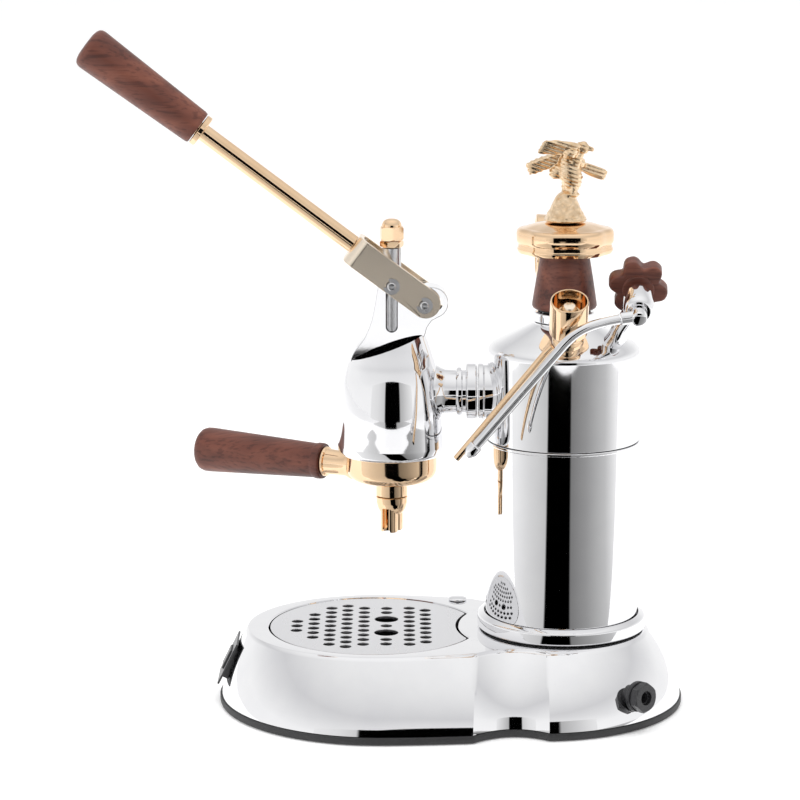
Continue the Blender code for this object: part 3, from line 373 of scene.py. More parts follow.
def lobes(front, waist_front, dip, waist_rear, rear):
    """One outline of the base; `front` is (x, half length, half width), `rear` is (x, radius)."""
    half = []
    for k in range(56):
        angle = math.pi - math.pi / 2 * k / 56
        half.append((front[0] + front[1] * math.cos(angle), front[2] * math.sin(angle)))
    for k in range(20):
        t = k / 20
        x = front[0] + (waist_front[0] - front[0]) * t
        half.append((x, front[2] + (waist_front[1] - front[2]) * t**1.7))
    for k in range(29):
        t = k / 28
        x = waist_front[0] + (waist_rear[0] - waist_front[0]) * t
        level = waist_front[1] + (waist_rear[1] - waist_front[1]) * t
        half.append((x, level + (dip[1] - (waist_front[1] + waist_rear[1]) / 2) * 4 * t * (1 - t)))
    start = math.atan2(waist_rear[1], waist_rear[0] - rear[0])
    for k in range(1, 48):
        angle = start * (1 - k / 48)
        half.append((rear[0] + rear[1] * math.cos(angle), rear[1] * math.sin(angle)))
    return half + [(rear[0] + rear[1], 0.0)] + [(x, -y) for x, y in reversed(half[1:])]


FOOT = lobes((-1.4, 100.0, 100.0), (55.6, 96.0), (79.8, 83.3), (101.9, 91.4), (97.0, 91.6))
RIM = lobes((-2.4, 82.3, 74.0), (58.4, 64.0), (79.0, 54.6), (101.9, 59.3), (107.0, 59.5))
BASE_TOP, TRIM_TOP = 47.0, 4.6


def wall_level(z):
    """The wall leans in, faster towards the top and fastest round the boiler."""
    level = []
    for (fx, fy), (rx, ry) in zip(FOOT, RIM):
        share = (z / BASE_TOP) ** (1.5 + 0.4 * min(max(fx / 97.0, 0.0), 1.0))
        level.append((fx + (rx - fx) * share, fy + (ry - fy) * share))
    return level


def inset(outline, distance):
    """Moves each point of a closed outline inwards."""
    moved, count = [], len(outline)
    for k, (x, y) in enumerate(outline):
        ax, ay = outline[k - 1]
        bx, by = outline[(k + 1) % count]
        length = math.hypot(bx - ax, by - ay)
        moved.append((x + (by - ay) / length * distance, y - (bx - ax) / length * distance))
    return moved


def flat(outline, z):
    """Lays an outline at a height."""
    return [(x, y, z) for x, y in outline]


print("the foot outline has", len(FOOT), "points")

# %% [markdown]
# The tray's opening is a circle with a bite out of it, where the boiler stands. Seen from its
# middle, every point of it lies on one ray, so the top sheet can run straight out along the rays.

# %% The base sheet
TRAY_X, TRAY_R, BITE_R, BOILER_X = -5.0, 66.0, 64.8, 113.0


def opening(radius, bite, outline):
    """The tray opening's point on the same ray as each point of an outline."""
    found, gap = [], BOILER_X - TRAY_X
    for x, y in outline:
        angle = math.atan2(y, x - TRAY_X)
        reach, root = radius, bite**2 - (gap * math.sin(angle)) ** 2
        if root > 0 and math.cos(angle) > 0:
            reach = min(reach, gap * math.cos(angle) - math.sqrt(root))
        found.append((TRAY_X + reach * math.cos(angle), reach * math.sin(angle)))
    return found


SHEET = 1.8
SHELL_FOOT = 4.95
heights = [SHELL_FOOT, 6, 8, 11, 14, 18, 22, 26, 30, 34, 37.5, 40.5, 43, 44.8, 45.9]
rings = [flat(wall_level(z), z) for z in heights]
top = wall_level(BASE_TOP)
rings += [flat(inset(top, 0.25), 46.55), flat(inset(top, 0.7), 46.9), flat(inset(top, 1.4), BASE_TOP)]
rings += [flat(opening(TRAY_R + 1.2, BITE_R - 1.2, top), BASE_TOP)]
rings += [flat(opening(TRAY_R + 0.4, BITE_R - 0.4, top), 46.8)]
rings += [flat(opening(TRAY_R, BITE_R, top), 46.3), flat(opening(TRAY_R, BITE_R, top), 45.2)]
rings += [flat(inset(wall_level(z), SHEET), z) for z in (45.2, 40, 32, 22, 12, SHELL_FOOT)]
shell = skin(rings, closed_stack=True)
settle(shell, "base sheet", "chrome", "base_shell", smooth=26)

foot = [(inset(FOOT, 0.4), 0.0), (inset(FOOT, -0.3), 0.3), (inset(FOOT, -0.6), 1.2),
        (inset(FOOT, -0.6), 3.9)]
foot += [(inset(FOOT, -0.3), 4.45), (inset(FOOT, 0.3), TRIM_TOP), (inset(FOOT, 3.0), TRIM_TOP),
         (inset(FOOT, 3.4), 0.0)]
trim = skin([flat(outline, z) for outline, z in foot], closed_stack=True)
settle(trim, "rubber foot trim", "rubber", "rubber_trim", smooth=40)
print("base sheet:", len(shell.data.polygons), "faces")

# %% [markdown]
# ## Drip tray and grid
# The grid is a flat steel plate with drilled holes. Drilling is a boolean: all the drills are one
# joined cutter. The two big holes under the spouts break the rows.

# %% Drip grid
def plate(outline, low, high):
    """A flat plate on a closed outline."""
    piece = one_point((*outline[0], low))
    draw([(x, y, low) for x, y in [*outline, outline[0]]])
    bpy.ops.mesh.select_all(action="SELECT")
    bpy.ops.mesh.remove_doubles(threshold=0.000005)
    bpy.ops.mesh.edge_face_add()
    bpy.ops.mesh.extrude_region_move(TRANSFORM_OT_translate={"value": (0, 0, (high - low) * MM)})
    heal(0.000005)
    return piece


def drill(piece, holes, low, high, sides=40):
    """Cuts round holes, given as (x, y, radius), straight down through a piece."""
    clear_choice()
    drills = []
    for x, y, radius in holes:
        bpy.ops.mesh.primitive_cylinder_add(vertices=sides, radius=radius * MM, depth=(high - low) * MM,
                                            location=(x * MM, y * MM, (low + high) / 2 * MM))
        drills.append(bpy.context.object)
    choose(*drills)
    bpy.ops.object.join()
    carve(piece, bpy.context.object)


def carve(piece, cutter, operation="DIFFERENCE"):
    """A boolean cut that is applied at once; the cutter goes away."""
    add_modifier(piece, "BOOLEAN", object=cutter, operation=operation, solver="EXACT")
    bpy.data.objects.remove(cutter)


def cut_bore(piece, radius, low, high, at=(0, 0, 0), axis=(0, 0, 1), steps=48):
    """Cuts one round hole along any axis, between two places on it."""
    carve(piece, lathe([(0, low), (radius, low), (radius, high), (0, high)], at, axis, steps))


def tray_outline(radius, bite, count=180):
    """The tray's own outline, with the bite out of its rear."""
    around = [(TRAY_X + math.cos(math.tau * k / count),
               math.sin(math.tau * k / count)) for k in range(count)]
    return opening(radius, bite, around)


SMALL_R, BIG_R, ROW_PITCH = 3.6, 7.5, 10.4
grid = plate(tray_outline(65.1, 66.4), 44.6, 46.6)
holes = [(3.0, y, BIG_R) for y in (-15.5, 15.5)] + [(3.0, y, SMALL_R) for y in (-41, -31, 0, 31, 41)]
for x, count in ((-53.3, 3), (-42.7, 6), (-32.2, 9), (-21.9, 10), (-11.2, 9), (17.5, 9), (27.7, 8)):
    holes += [(x, (k - (count - 1) / 2) * ROW_PITCH, SMALL_R) for k in range(count)]
drill(grid, holes, 40, 50)
soften(grid, 0.35, 2, 40)
settle(grid, "drip grid", "satin_steel", "drip_grid")
print("drip grid:", len(holes), "holes,", len(grid.data.polygons), "faces")

# %% [markdown]
# The tray under the grid is a black moulded dish with a rounded floor. Only its inside shows
# through the holes, so an open dish with a thick wall is enough.

# %% Drip tray
rows = [(62.6, 63.4 + 5.8, 7.0), (64.2, 66.4, 9.6), (64.6, 66.2, 12), (64.6, 66.2, 44.0)]
rows += [(62.4, 68.4, 44.0), (62.4, 68.4, 14), (61.2, 69.6, 10.8), (58, 72, 9.2), (20, 105, 9.2)]
dish = skin([flat(tray_outline(a, b, 120), z) for a, b, z in rows])
bpy.ops.object.mode_set(mode="EDIT")
bpy.ops.mesh.select_all(action="DESELECT")
bpy.ops.mesh.select_non_manifold(extend=False)
bpy.ops.mesh.fill()
heal()
settle(dish, "drip tray dish", "black_plastic", "drip_tray")

# %% [markdown]
# ## The boiler
# The boiler is two drawn cups of chromed brass. The seam between them shows as a fine bright band,
# and the collar clamps the lower cup to the base. All are turned shapes.

# %% Boiler shells and collar
AXIS = (BOILER_X, 0, 0)
collar = [(48.4, 47.9), (51.9, 47.9), (52.8, 48.6), (52.8, 54.4), (52.2, 55.6), (49.4, 57.2),
          (48.4, 57.5), (48.4, 47.9)]
turned("boiler collar", collar, "chrome", "boiler_collar", AXIS, edge=0.5, steps=192)
seal = [(48.4, 47.35), (51.2, 47.35), (51.2, 47.8), (48.4, 47.8), (48.4, 47.35)]
turned("collar seal", seal, "rubber", (), AXIS, edge=0, steps=160, body="machine")
lower = [(45.8, 28.6), (47.0, 28.0), (47.6, 28.6), (47.6, 165.7), (48.0, 166.1), (48.0, 167.3),
         (47.7, 167.6), (45.8, 167.6), (45.8, 28.6)]
turned("boiler lower cup", lower, "chrome", "boiler_lower_shell", AXIS, edge=0.15, steps=192)
upper = [(45.6, 167.95), (47.1, 167.95), (47.4, 168.3), (47.4, 222.2), (47.1, 224.2), (46.2, 226.0),
         (43.6, 228.3), (36.0, 232.0), (22.4, 238.8), (18.9, 240.5), (18.9, 241.4), (16.6, 241.4),
         (16.6, 239.0), (43.0, 225.8), (45.6, 222.6), (45.6, 167.95)]
turned("boiler upper cup", upper, "chrome", "boiler_upper_shell", AXIS, edge=0.5, steps=192)
GROUP_Z, GROUP_X = 196.8, 6.5
boss = [(0, 59.6), (17.3, 59.6), (17.9, 60.2), (17.9, 62.8), (17.2, 63.6), (17.2, 69.5), (0, 69.5)]
turned("boiler boss", boss, "chrome", (), (0, 0, GROUP_Z), (1, 0, 0), edge=0.3, body="machine")
neck = [(16.2, 241.75), (18.3, 241.75), (18.9, 242.3), (18.9, 247.2), (18.3, 247.8), (16.2, 247.8),
        (16.2, 241.75)]
turned("filler neck", neck, "chrome", "neck_ring", AXIS, edge=0.3)

# %% [markdown]
# ## The boiler cap
# A turned wood cone keeps fingers off the hot neck. The gilt disc over it is scalloped for grip: its
# outline is a circle whose radius dips between six lobes, stacked into a skin.

# %% Cap cone and disc
cone = [(0, 249.6), (18.2, 249.6), (19.4, 250.3), (20.0, 251.6), (19.8, 253.8), (17.6, 268.0),
        (15.0, 283.0), (14.4, 283.6), (0, 283.6)]
turned("cap cone", cone, "upright_wood", "cap_cone", AXIS, edge=0.3)


def lobed(radius, depth, z, at=(0, 0, 0), count=216, sharp=1.6):
    """A round outline that dips between six lobes; `sharp` narrows the dips."""
    ring = []
    for k in range(count):
        angle = math.tau * k / count
        reach = radius - depth * (0.5 - 0.5 * math.cos(6 * angle)) ** sharp
        ring.append((at[0] + reach * math.cos(angle), at[1] + reach * math.sin(angle), z))
    return ring


def close_ends(piece):
    """Fills the open first and last outline of a skin."""
    clear_choice()
    bpy.context.view_layer.objects.active = piece
    bpy.ops.object.mode_set(mode="EDIT")
    bpy.ops.mesh.select_mode(type="VERT")
    bpy.ops.mesh.select_all(action="DESELECT")
    bpy.ops.mesh.select_non_manifold(extend=False)
    bpy.ops.mesh.edge_face_add()
    heal()
    return piece


disc = [(2.0, 283.95), (26.8, 283.95), (28.6, 284.5), (29.5, 286.0), (29.5, 287.4), (28.9, 288.2),
        (28.9, 290.2), (29.6, 291.0), (30.0, 292.4), (30.0, 296.8), (29.4, 298.6), (28.0, 299.6),
        (26.2, 299.8), (24.4, 300.2), (19.0, 301.9), (12.0, 303.1), (5.0, 303.6), (1.0, 303.6)]
cap_disc = close_ends(skin([lobed(r, 1.6 if r > 20 else 0, z, AXIS, 180, 2) for r, z in disc]))
settle(cap_disc, "cap disc", "rose_gold", "cap_disc", smooth=40)

# %% [markdown]
# ## The relief valve
# A gilt cup leans towards the operator, with a hexagonal nut down in it. Escaping steam leaves by
# the thin pipe. The hexagon is a six-sided outline with its corners turned down to a circle.

# %% Relief valve
LEAN = math.radians(29)
RELIEF_AT, RELIEF_AXIS = (113.0, -39.0, 231.4), (0, -math.sin(LEAN), math.cos(LEAN))
cup = [(0, -2.0), (7.4, -2.0), (7.4, 3.0), (9.6, 5.4), (9.6, 8.0), (8.4, 9.4), (8.4, 11.4), (11.0, 12.6),
       (11.7, 13.8), (11.7, 35.6), (11.4, 36.8), (10.9, 37.2), (10.4, 36.8), (10.2, 20.0), (0, 20.0)]
turned("relief valve cup", cup, "rose_gold", "relief_valve_cup", RELIEF_AT, RELIEF_AXIS, edge=0.25)


def hexagon(across, z):
    """Six corners, for a nut that measures `across` from flat to flat."""
    corner = across / 2 / math.cos(math.pi / 6)
    turns = [math.tau * k / 6 for k in range(6)]
    return [(corner * math.cos(turn), corner * math.sin(turn), z) for turn in turns]


def hex_nut(across, low, high, chamfer=0.9):
    """A nut: a hexagon met with a cone at each end, as a lathe leaves it."""
    body = close_ends(skin([hexagon(across, low), hexagon(across, high)]))
    corner = across / 2 / math.cos(math.pi / 6)
    turned_down = lathe([(0, low), (across / 2, low), (corner + 0.02, low + chamfer),
                        (corner + 0.02, high - chamfer), (across / 2, high), (0, high)], steps=96)
    carve(body, turned_down, "INTERSECT")
    return body


def weld(piece, *others):
    """Joins pieces into one object."""
    choose(piece, *others)
    bpy.ops.object.join()
    return piece


nut = hex_nut(14.0, 20.4, 28.0)
crown = lathe([(0, 27.6), (5.4, 27.6), (5.4, 29.0), (4.6, 29.8), (4.6, 31.6), (3.4, 33.2), (0, 33.6)])
weld(nut, crown)
lay(nut, RELIEF_AT, RELIEF_AXIS)
soften(nut, 0.2, 2)
settle(nut, "relief valve nut", "satin_gold", "relief_valve_nut")
print("made so far:", ", ".join(MADE))

# %% [markdown]
# ## The group
# The group is one chromed casting: a bell with a cylinder in it, cut off by a sloping shoulder, and
# a thin fin above that carries the lever's pins. A smooth curve through a few measured points gives
# the bell's profile. A bisect makes the shoulder, and booleans add the fin and the bores.

# %% Curves through points
def flow(points, per=6):
    """A smooth curve through a few points, closed shapes excepted."""
    ends = [points[0], *points, points[-1]]
    curve = []
    for a, b, c, d in zip(ends, ends[1:], ends[2:], ends[3:]):
        for k in range(per):
            t = k / per
            curve.append(tuple(
                0.5 * (2 * q + (r - p) * t + (2 * p - 5 * q + 4 * r - s) * t * t
                       + (3 * q - p - 3 * r + s) * t**3)
                for p, q, r, s in zip(a, b, c, d)))
    return [*curve, points[-1]]


def arc(centre, radius, start, end, steps):
    """Points round part of a circle, between two angles in degrees."""
    angles = [math.radians(start + (end - start) * k / steps) for k in range(steps + 1)]
    return [(centre[0] + radius * math.cos(a), centre[1] + radius * math.sin(a)) for a in angles]


def side_plate(outline, half):
    """A plate drawn from the side, in X and Z, that reaches `half` each way in Y."""
    piece = plate(outline, -half, half)
    piece.data.transform(Matrix.Rotation(math.radians(90), 4, "X"))
    return piece


# %% [markdown]
# The casting is polished all over, so its flats and its round bell meet in crisp but soft edges. It
# could be sculpted, but a lathe, a bisect and a few booleans keep every size exact, and a small bevel
# at the end gives the polisher's touch.

# %% Group body
bell = [(29.0, 158.2), (30.9, 158.2), (32.6, 159.3), (33.4, 161.0)]
bell += flow([(33.7, 164.0), (33.3, 172.0), (32.5, 186.0), (30.6, 201.6), (28.1, 212.0), (26.2, 217.7),
              (23.4, 226.4), (20.4, 234.5), (17.0, 240.0)])
bore = [(6.4, 240.0), (6.4, 213.0), (25.2, 209.8), (25.2, 167.0), (29.0, 167.0), (29.0, 158.2)]
group = lathe(bell + bore, (GROUP_X, 0, 0), steps=160)
clear_choice()
bpy.context.view_layer.objects.active = group
bpy.ops.object.mode_set(mode="EDIT")
bpy.ops.mesh.select_all(action="SELECT")
slope = math.atan2(234.8 - 218.0, 27.1 + 19.5)
bpy.ops.mesh.bisect(plane_co=(-19.5 * MM, 0, 218.0 * MM), plane_no=(-math.sin(slope), 0, math.cos(slope)),
                    use_fill=True, clear_outer=True)
bpy.ops.object.mode_set(mode="OBJECT")
fin = flow([(-17.5, 215.6), (-19.0, 218.4), (-17.0, 223.3), (-13.5, 228.0), (-10.1, 232.8), (-6.4, 242.0),
           (-4.4, 251.0), (-2.9, 260.0), (-1.6, 267.4)], 4)
fin += [(-0.4, 268.6), (14.0, 268.6), (23.0, 265.0)] + arc((31.4, 254.0), 10.0, 90, -50, 20)
fin += flow([(31.4, 243.0), (28.4, 238.6), (27.0, 234.0), (22.0, 226.0), (16.0, 215.6)], 4)
web = side_plate(fin, 8.4)
soften(web, 1.4, 4, 35)
carve(group, web, "UNION")
cut_bore(group, 6.4, 205, 290, (GROUP_X, 0, 0), steps=64)
pin_slot = arc((GROUP_X, 239.3), 3.7, 180, 360, 16) + [(GROUP_X + 3.7, 290), (GROUP_X - 3.7, 290)]
carve(group, side_plate(pin_slot, 30))
ear_slot = arc((33.3, 253.9), 4.7, -90, 90, 12) + arc((23.3, 253.9), 4.7, 90, 270, 12)
carve(group, side_plate(ear_slot, 30))
stem = [(20.0, 0), (20.0, 17.2), (24.0, 17.2), (27.6, 17.0), (30.6, 15.4), (33.0, 14.2), (39.6, 13.8),
        (40.2, 15.2), (41.4, 15.6), (43.0, 15.4), (43.6, 13.8), (52.7, 13.8), (52.7, 0)]
neck_piece = lathe([(r, x) for x, r in stem], (GROUP_X, 0, GROUP_Z), (1, 0, 0), 96)
carve(group, neck_piece, "UNION")
soften(group, 0.5, 2, 38)
settle(group, "group body", "chrome", "group_body", smooth=32)

ring_nut = [(14.2, 45.6), (16.9, 45.6), (17.9, 46.6), (17.9, 51.7), (17.0, 52.7), (14.2, 52.7),
            (14.2, 45.6)]
turned("group ring nut", ring_nut, "chrome", "group_ring_nut", (GROUP_X, 0, GROUP_Z), (1, 0, 0), edge=0.3)
print("group body:", len(group.data.polygons), "faces")

# %% [markdown]
# ## Piston rod and its nuts
# The steel rod comes out of the fin, and a lock nut and an acorn nut hold its fork pin's height.

# %% Rod, lock nut and acorn nut
GROUP_AXIS = (GROUP_X, 0, 0)
rod = lathe([(0, 200.8), (5.8, 200.8), (5.8, 287.2), (4.0, 287.6), (4.0, 299.0), (0, 299.0)], GROUP_AXIS,
            steps=96)
carve(rod, side_plate(arc((GROUP_X, 265.0), 3.3, 0, 345, 23), 12))
settle(rod, "piston rod", "steel", "piston_rod")


def bored_nut(name, body, turn, bore_top, finish, node):
    """Turns a nut on the piston rod and bores it for the rod's thread."""
    body.data.transform(Matrix.Rotation(turn, 4, "Z"))
    cut_bore(body, 4.4, 280, bore_top, steps=64)
    body.data.transform(Matrix.Translation(Vector(GROUP_AXIS) * MM))
    soften(body, 0.15, 2)
    return settle(body, name, finish, node)


bored_nut("rod lock nut", hex_nut(12.9, 287.9, 291.7, 0.6), math.radians(10), 296, "rose_gold",
          "rod_lock_nut")
acorn = hex_nut(13.7, 292.1, 300.4, 0.9)
carve(acorn, lathe([(0, 299.0), (6.2, 299.0), *flow([(6.2, 300.3), (5.9, 302.2), (4.6, 304.1), (2.4,
      305.1), (0, 305.3)])]), "UNION")
bored_nut("acorn nut", acorn, math.radians(38), 299.8, "rose_gold", "acorn_nut")

# %% [markdown]
# ## The lever
# The fork is one strip of plate folded into a U round the fin. Seen from above it is the U, and
# seen from the side its free ends are round, so two drawn plates are intersected.

# %% Lever fork
PIN_R, PIN_HOLE_R = 3.0, 3.3
PIN_AT = Vector((GROUP_X, 0, 265.0))
REAR_PIN_AT = Vector((26.7, 0, 253.2))
LEVER_OUT = Vector((-math.cos(LEVER_TILT), 0, math.sin(LEVER_TILT)))
LEVER_UP = Vector((math.sin(LEVER_TILT), 0, math.cos(LEVER_TILT)))
ROD_OUT = Vector((-math.cos(ROD_TILT), 0, math.sin(ROD_TILT)))


def lay_on_lever(piece):
    """Lays a piece drawn with X along the lever and Z across it onto the lever."""
    columns = Matrix([LEVER_OUT, Vector((0, -1, 0)), LEVER_UP]).transposed().to_4x4()
    piece.data.transform(Matrix.Translation(PIN_AT * MM) @ columns)
    return piece


LOW, HIGH, HALF, THICK, CORNER, REACH = -5.4, 12.9, 11.8, 2.6, 6.5, 33.2
end, tight, inner = REACH - 3.0, CORNER - THICK, HALF - THICK
strip = [(-34, -HALF)] + arc((REACH - CORNER, -HALF + CORNER), CORNER, -90, 0, 20)
strip += arc((REACH - CORNER, HALF - CORNER), CORNER, 0, 90, 20) + [(-34, HALF), (-34, inner)]
strip += arc((end - tight, inner - tight), tight, 90, 0, 14) + arc((end - tight, -inner + tight), tight,
             0, -90, 14)
strip += [(-34, -inner)]
fork = plate(strip, LOW, HIGH)
rounded = arc((-23.2, (LOW + HIGH) / 2), (HIGH - LOW) / 2 + 0.03, 90, 270, 40) + [(40, LOW - 0.03),
              (40, HIGH + 0.03)]
carve(fork, side_plate(rounded, 30), "INTERSECT")
lay_on_lever(fork)
for pin in (PIN_AT, REAR_PIN_AT):
    cut_bore(fork, PIN_HOLE_R, -20, 20, pin, (0, 1, 0))
ROD_START = PIN_AT + LEVER_OUT * REACH + LEVER_UP * 5.4
cut_bore(fork, 3.6, -8, 6, ROD_START, ROD_OUT)
soften(fork, 0.4, 3, 40)
settle(fork, "lever fork", "satin_gold", "lever_fork")

# %% [markdown]
# Each pin is a plain steel rod with a head on the far side. A spring clip snaps into a groove near
# its end and keeps it in. The clip is a ring with a gap, drawn as two arcs, so one plate makes it.

# %% Pins and spring clips
CLIP_OUTER, CLIP_INNER = 5.1, 2.45
for name, place in (("front", PIN_AT), ("rear", REAR_PIN_AT)):
    pin = [(0, -14.0), (4.2, -14.0), (4.6, -13.6), (4.6, -12.15), (PIN_R, -12.15), (PIN_R, 12.2),
           (2.1, 12.2), (2.1, 13.1), (2.7, 13.3), (2.6, 14.0), (2.0, 14.5), (0, 14.5)]
    turned(name + " fork pin", pin, "steel", name + "_pin", place, (0, -1, 0), edge=0.15, steps=64)
    clip = plate(arc((0, 0), CLIP_OUTER, 35, 325, 44) + arc((0, 0), CLIP_INNER, 320, 40, 30), 12.3, 13.0)
    clip.data.transform(Matrix.Rotation(math.radians(150), 4, "Z"))
    lay(clip, place, (0, -1, 0))
    soften(clip, 0.12, 2, 40)
    settle(clip, name + " spring clip", "steel", name + "_clip")

# %% [markdown]
# The rod and both grips are turned. The wood swells towards its end, so the hand doesn't slip off.

# %% Lever rod and grip
rod = [(0, -5.0), (3.2, -5.0), (3.2, 0.35), (5.4, 0.35), (5.6, 0.6), (5.3, 114.4), (9.6, 114.6),
       (10.2, 115.2), (10.2, 117.8), (9.8, 118.2), (4.4, 118.4), (4.4, 150.0), (0, 150.0)]
turned("lever rod", rod, "rose_gold", "lever_rod", ROD_START, ROD_OUT, edge=0.15)
grip = [(0, 152.0), (4.8, 152.0), (4.8, 118.8), (10.2, 118.8), (10.7, 119.4), (11.0, 121.0),
        (13.4, 197.8)]
grip += [(13.1, 199.6), (12.2, 201.2), (10.4, 202.3), (7.6, 203.0), (0, 203.3)]
turned("lever grip", grip, "lever_wood", "lever_handle", ROD_START, ROD_OUT, edge=0.2)

# %% [markdown]
# ## The portafilter
# The filter holder is a gilt bowl with a turned neck, a wood grip and a spout with two mouths. It
# is locked a little round towards the far side.

# %% Bowl, neck and grip
OUT = Vector((-math.cos(HANDLE_TURN), math.sin(HANDLE_TURN), 0))
GRIP_AT = (GROUP_X, 0, 148.4)
bowl = [(0, 144.2), (26.4, 144.2), (26.4, 160.2), (27.9, 160.2), (28.2, 159.9), (28.2, 149.6)]
bowl += flow([(28.1, 148.0), (27.0, 145.0), (23.4, 141.9), (16.0, 140.1), (10.4, 139.4)], 5)
bowl += [(9.9, 138.8), (9.9, 131.6), (9.5, 131.2), (0, 131.2)]
cup = lathe(bowl, GROUP_AXIS, steps=160)
arm = [(0, 27.0), (9.4, 27.0), (9.0, 28.6), (8.0, 30.4), (7.8, 36.0), (8.2, 44.0), (9.2, 44.6),
       (9.4, 45.8), (9.0, 46.4), (4.0, 46.4), (4.0, 60.0), (0, 60.0)]
carve(cup, lathe(arm, GRIP_AT, OUT, 96), "UNION")
cut_bore(cup, 3.0, 120, 150, GROUP_AXIS)
soften(cup, 0.3, 2, 35)
settle(cup, "filter holder bowl", "rose_gold", "portafilter_bowl")
grip = [(0, 62.0), (4.4, 62.0), (4.4, 46.8), (10.6, 46.8), (11.2, 47.4), (11.4, 48.6), (11.4, 51.2),
        (11.0, 52.2), (10.9, 53.4), (14.1, 127.0), (14.0, 130.2), (13.2, 132.6), (11.6, 134.2),
        (9.0, 135.1), (0, 135.4)]
turned("filter holder grip", grip, "level_wood", "portafilter_handle", GRIP_AT, OUT, edge=0.2)
basket = [(0, 146.2), (22.0, 146.2), (25.6, 148.0), (25.6, 160.55), (27.4, 160.55), (27.6, 160.9),
          (27.4, 161.3), (24.8, 161.3), (24.8, 148.6), (21.6, 147.0), (0, 147.0)]
turned("filter basket", basket, "steel", "filter_basket", GROUP_AXIS, edge=0.2)

# %% [markdown]
# The spout splits the coffee into two cups. Two short prongs are joined to a turned stem, and a round
# gutter is cut along the outside of each, so they read as two open mouths.

# %% Twin spout
spout = lathe([(0, 130.8), (9.6, 130.8), (9.9, 130.4), *flow([(9.7, 127.0), (8.6, 123.0), (6.4, 120.0),
              (3.0, 119.0)], 4), (0, 119.0)], GROUP_AXIS)
ACROSS = Vector((OUT.y, -OUT.x, 0))
for sign in (1, -1):
    prong = lathe([(0, 108.6), (5.0, 108.6), (5.4, 109.2), (5.4, 126.0), (0, 126.0)],
                  Vector(GROUP_AXIS) + ACROSS * 3.6 * sign, steps=64)
    carve(spout, prong, "UNION")
for sign in (1, -1):
    cut_bore(spout, 3.6, 100, 124, Vector(GROUP_AXIS) + ACROSS * 5.8 * sign, steps=64)
cut_bore(spout, 3, 122, 140, GROUP_AXIS)
soften(spout, 0.25, 2, 38)
settle(spout, "twin spout", "rose_gold", "portafilter_spout")
print("made so far:", len(MADE), "pieces")

# %% [markdown]
# ## Pipes
# Bent pipes are a curve with a round section. The curve is made a mesh before it is finished, and
# its ends are filled.

# %% Bent pipes
def pipe(route, radius, per=8):
    """A bent tube along a route of points."""
    path = flow(route, per)
    data = bpy.data.curves.new("route", "CURVE")
    data.dimensions, data.bevel_depth, data.bevel_resolution = "3D", radius * MM, 7
    data.use_fill_caps = True
    line = data.splines.new("POLY")
    line.points.add(len(path) - 1)
    for point, at in zip(line.points, path):
        point.co = (*(Vector(at) * MM), 1)
    bent = bpy.data.objects.new("pipe", data)
    bpy.context.scene.collection.objects.link(bent)
    clear_choice()
    bpy.context.view_layer.objects.active = bent
    bent.select_set(True)
    bpy.ops.object.convert(target="MESH")
    bent = bpy.context.object
    bpy.ops.object.mode_set(mode="EDIT")
    heal()
    return bent


overflow = pipe([(102.4, -61.4, 236.8), (99.6, -60.9, 233.8), (97.0, -60.4, 230.6), (90.0, -59.7, 221.8),
                (45.6, -55.0, 166.6)], 2.1)
settle(overflow, "overflow pipe", "rose_gold", "overflow_tube")

# %% [markdown]
# ## Steam valve, knob and wand
# The valve is a small chromed barrel with a packing nut. Its wood knob is lobed like a flower, and
# the wand hangs from a ball joint at the valve's near end.

# %% Steam valve
NEAR, FAR = Vector((154.3, -60.0, 254.7)), Vector((157.0, -15.0, 268.0))
VALVE = (FAR - NEAR).normalized()
barrel = [(0, 5.6), (6.8, 5.6), (7.6, 6.2), (8.2, 7.2), (8.6, 8.4), (9.2, 10.0), (9.4, 14.0), (9.4, 23.0),
          (8.8, 25.0), (7.6, 26.2), (7.2, 27.4), (7.2, 29.4), (6.6, 30.0), (0, 30.0)]
valve = lathe(barrel, NEAR, VALVE, 96)
leg = pipe([(141.4, -24.6, 232.6), (143.9, -28.2, 237.0), (147.0, -33.6, 245.0), (153.6, -42.0, 256.4)],
           6.1, 6)
carve(valve, leg, "UNION")
cut_bore(valve, 3.4, 12, 34, NEAR, VALVE)
soften(valve, 0.3, 2, 35)
settle(valve, "steam valve barrel", "chrome", "steam_valve_body")
turned("steam spindle rod", [(0, 13), (3, 13), (3, 46), (0, 46)], "steel", "steam_spindle", NEAR, VALVE,
       edge=0.1, steps=48)

# %% [markdown]
# The knob is turned wood cut into a flower, so a wet hand can turn it. Its outline is a circle that
# dips between six lobes. Rows of it, drawn in a little at both faces, give the softened edges.

# %% Steam knob
knob_rows = [(8.8, 34.6, 0), (9.6, 35.0, 0), (9.6, 36.4, 0), (16.4, 36.6, 4.2), (17.8, 37.4, 4.5),
             (18.2, 38.8, 4.6), (18.2, 46.4, 4.6), (17.6, 48.0, 4.5), (16.2, 48.9, 4.2),
             (14.4, 49.0, 3.8), (6.0, 49.0, 0.0)]


knob = close_ends(skin([lobed(r, d, z) for r, z, d in knob_rows]))
knob.data.transform(Matrix.Rotation(math.radians(10), 4, "Z"))
lay(knob, NEAR, VALVE)
cut_bore(knob, 3.3, 30, 46.6, NEAR, VALVE)
soften(knob, 0.4, 3, 50)
settle(knob, "steam knob flower", "dark_wood", "steam_knob", smooth=50)
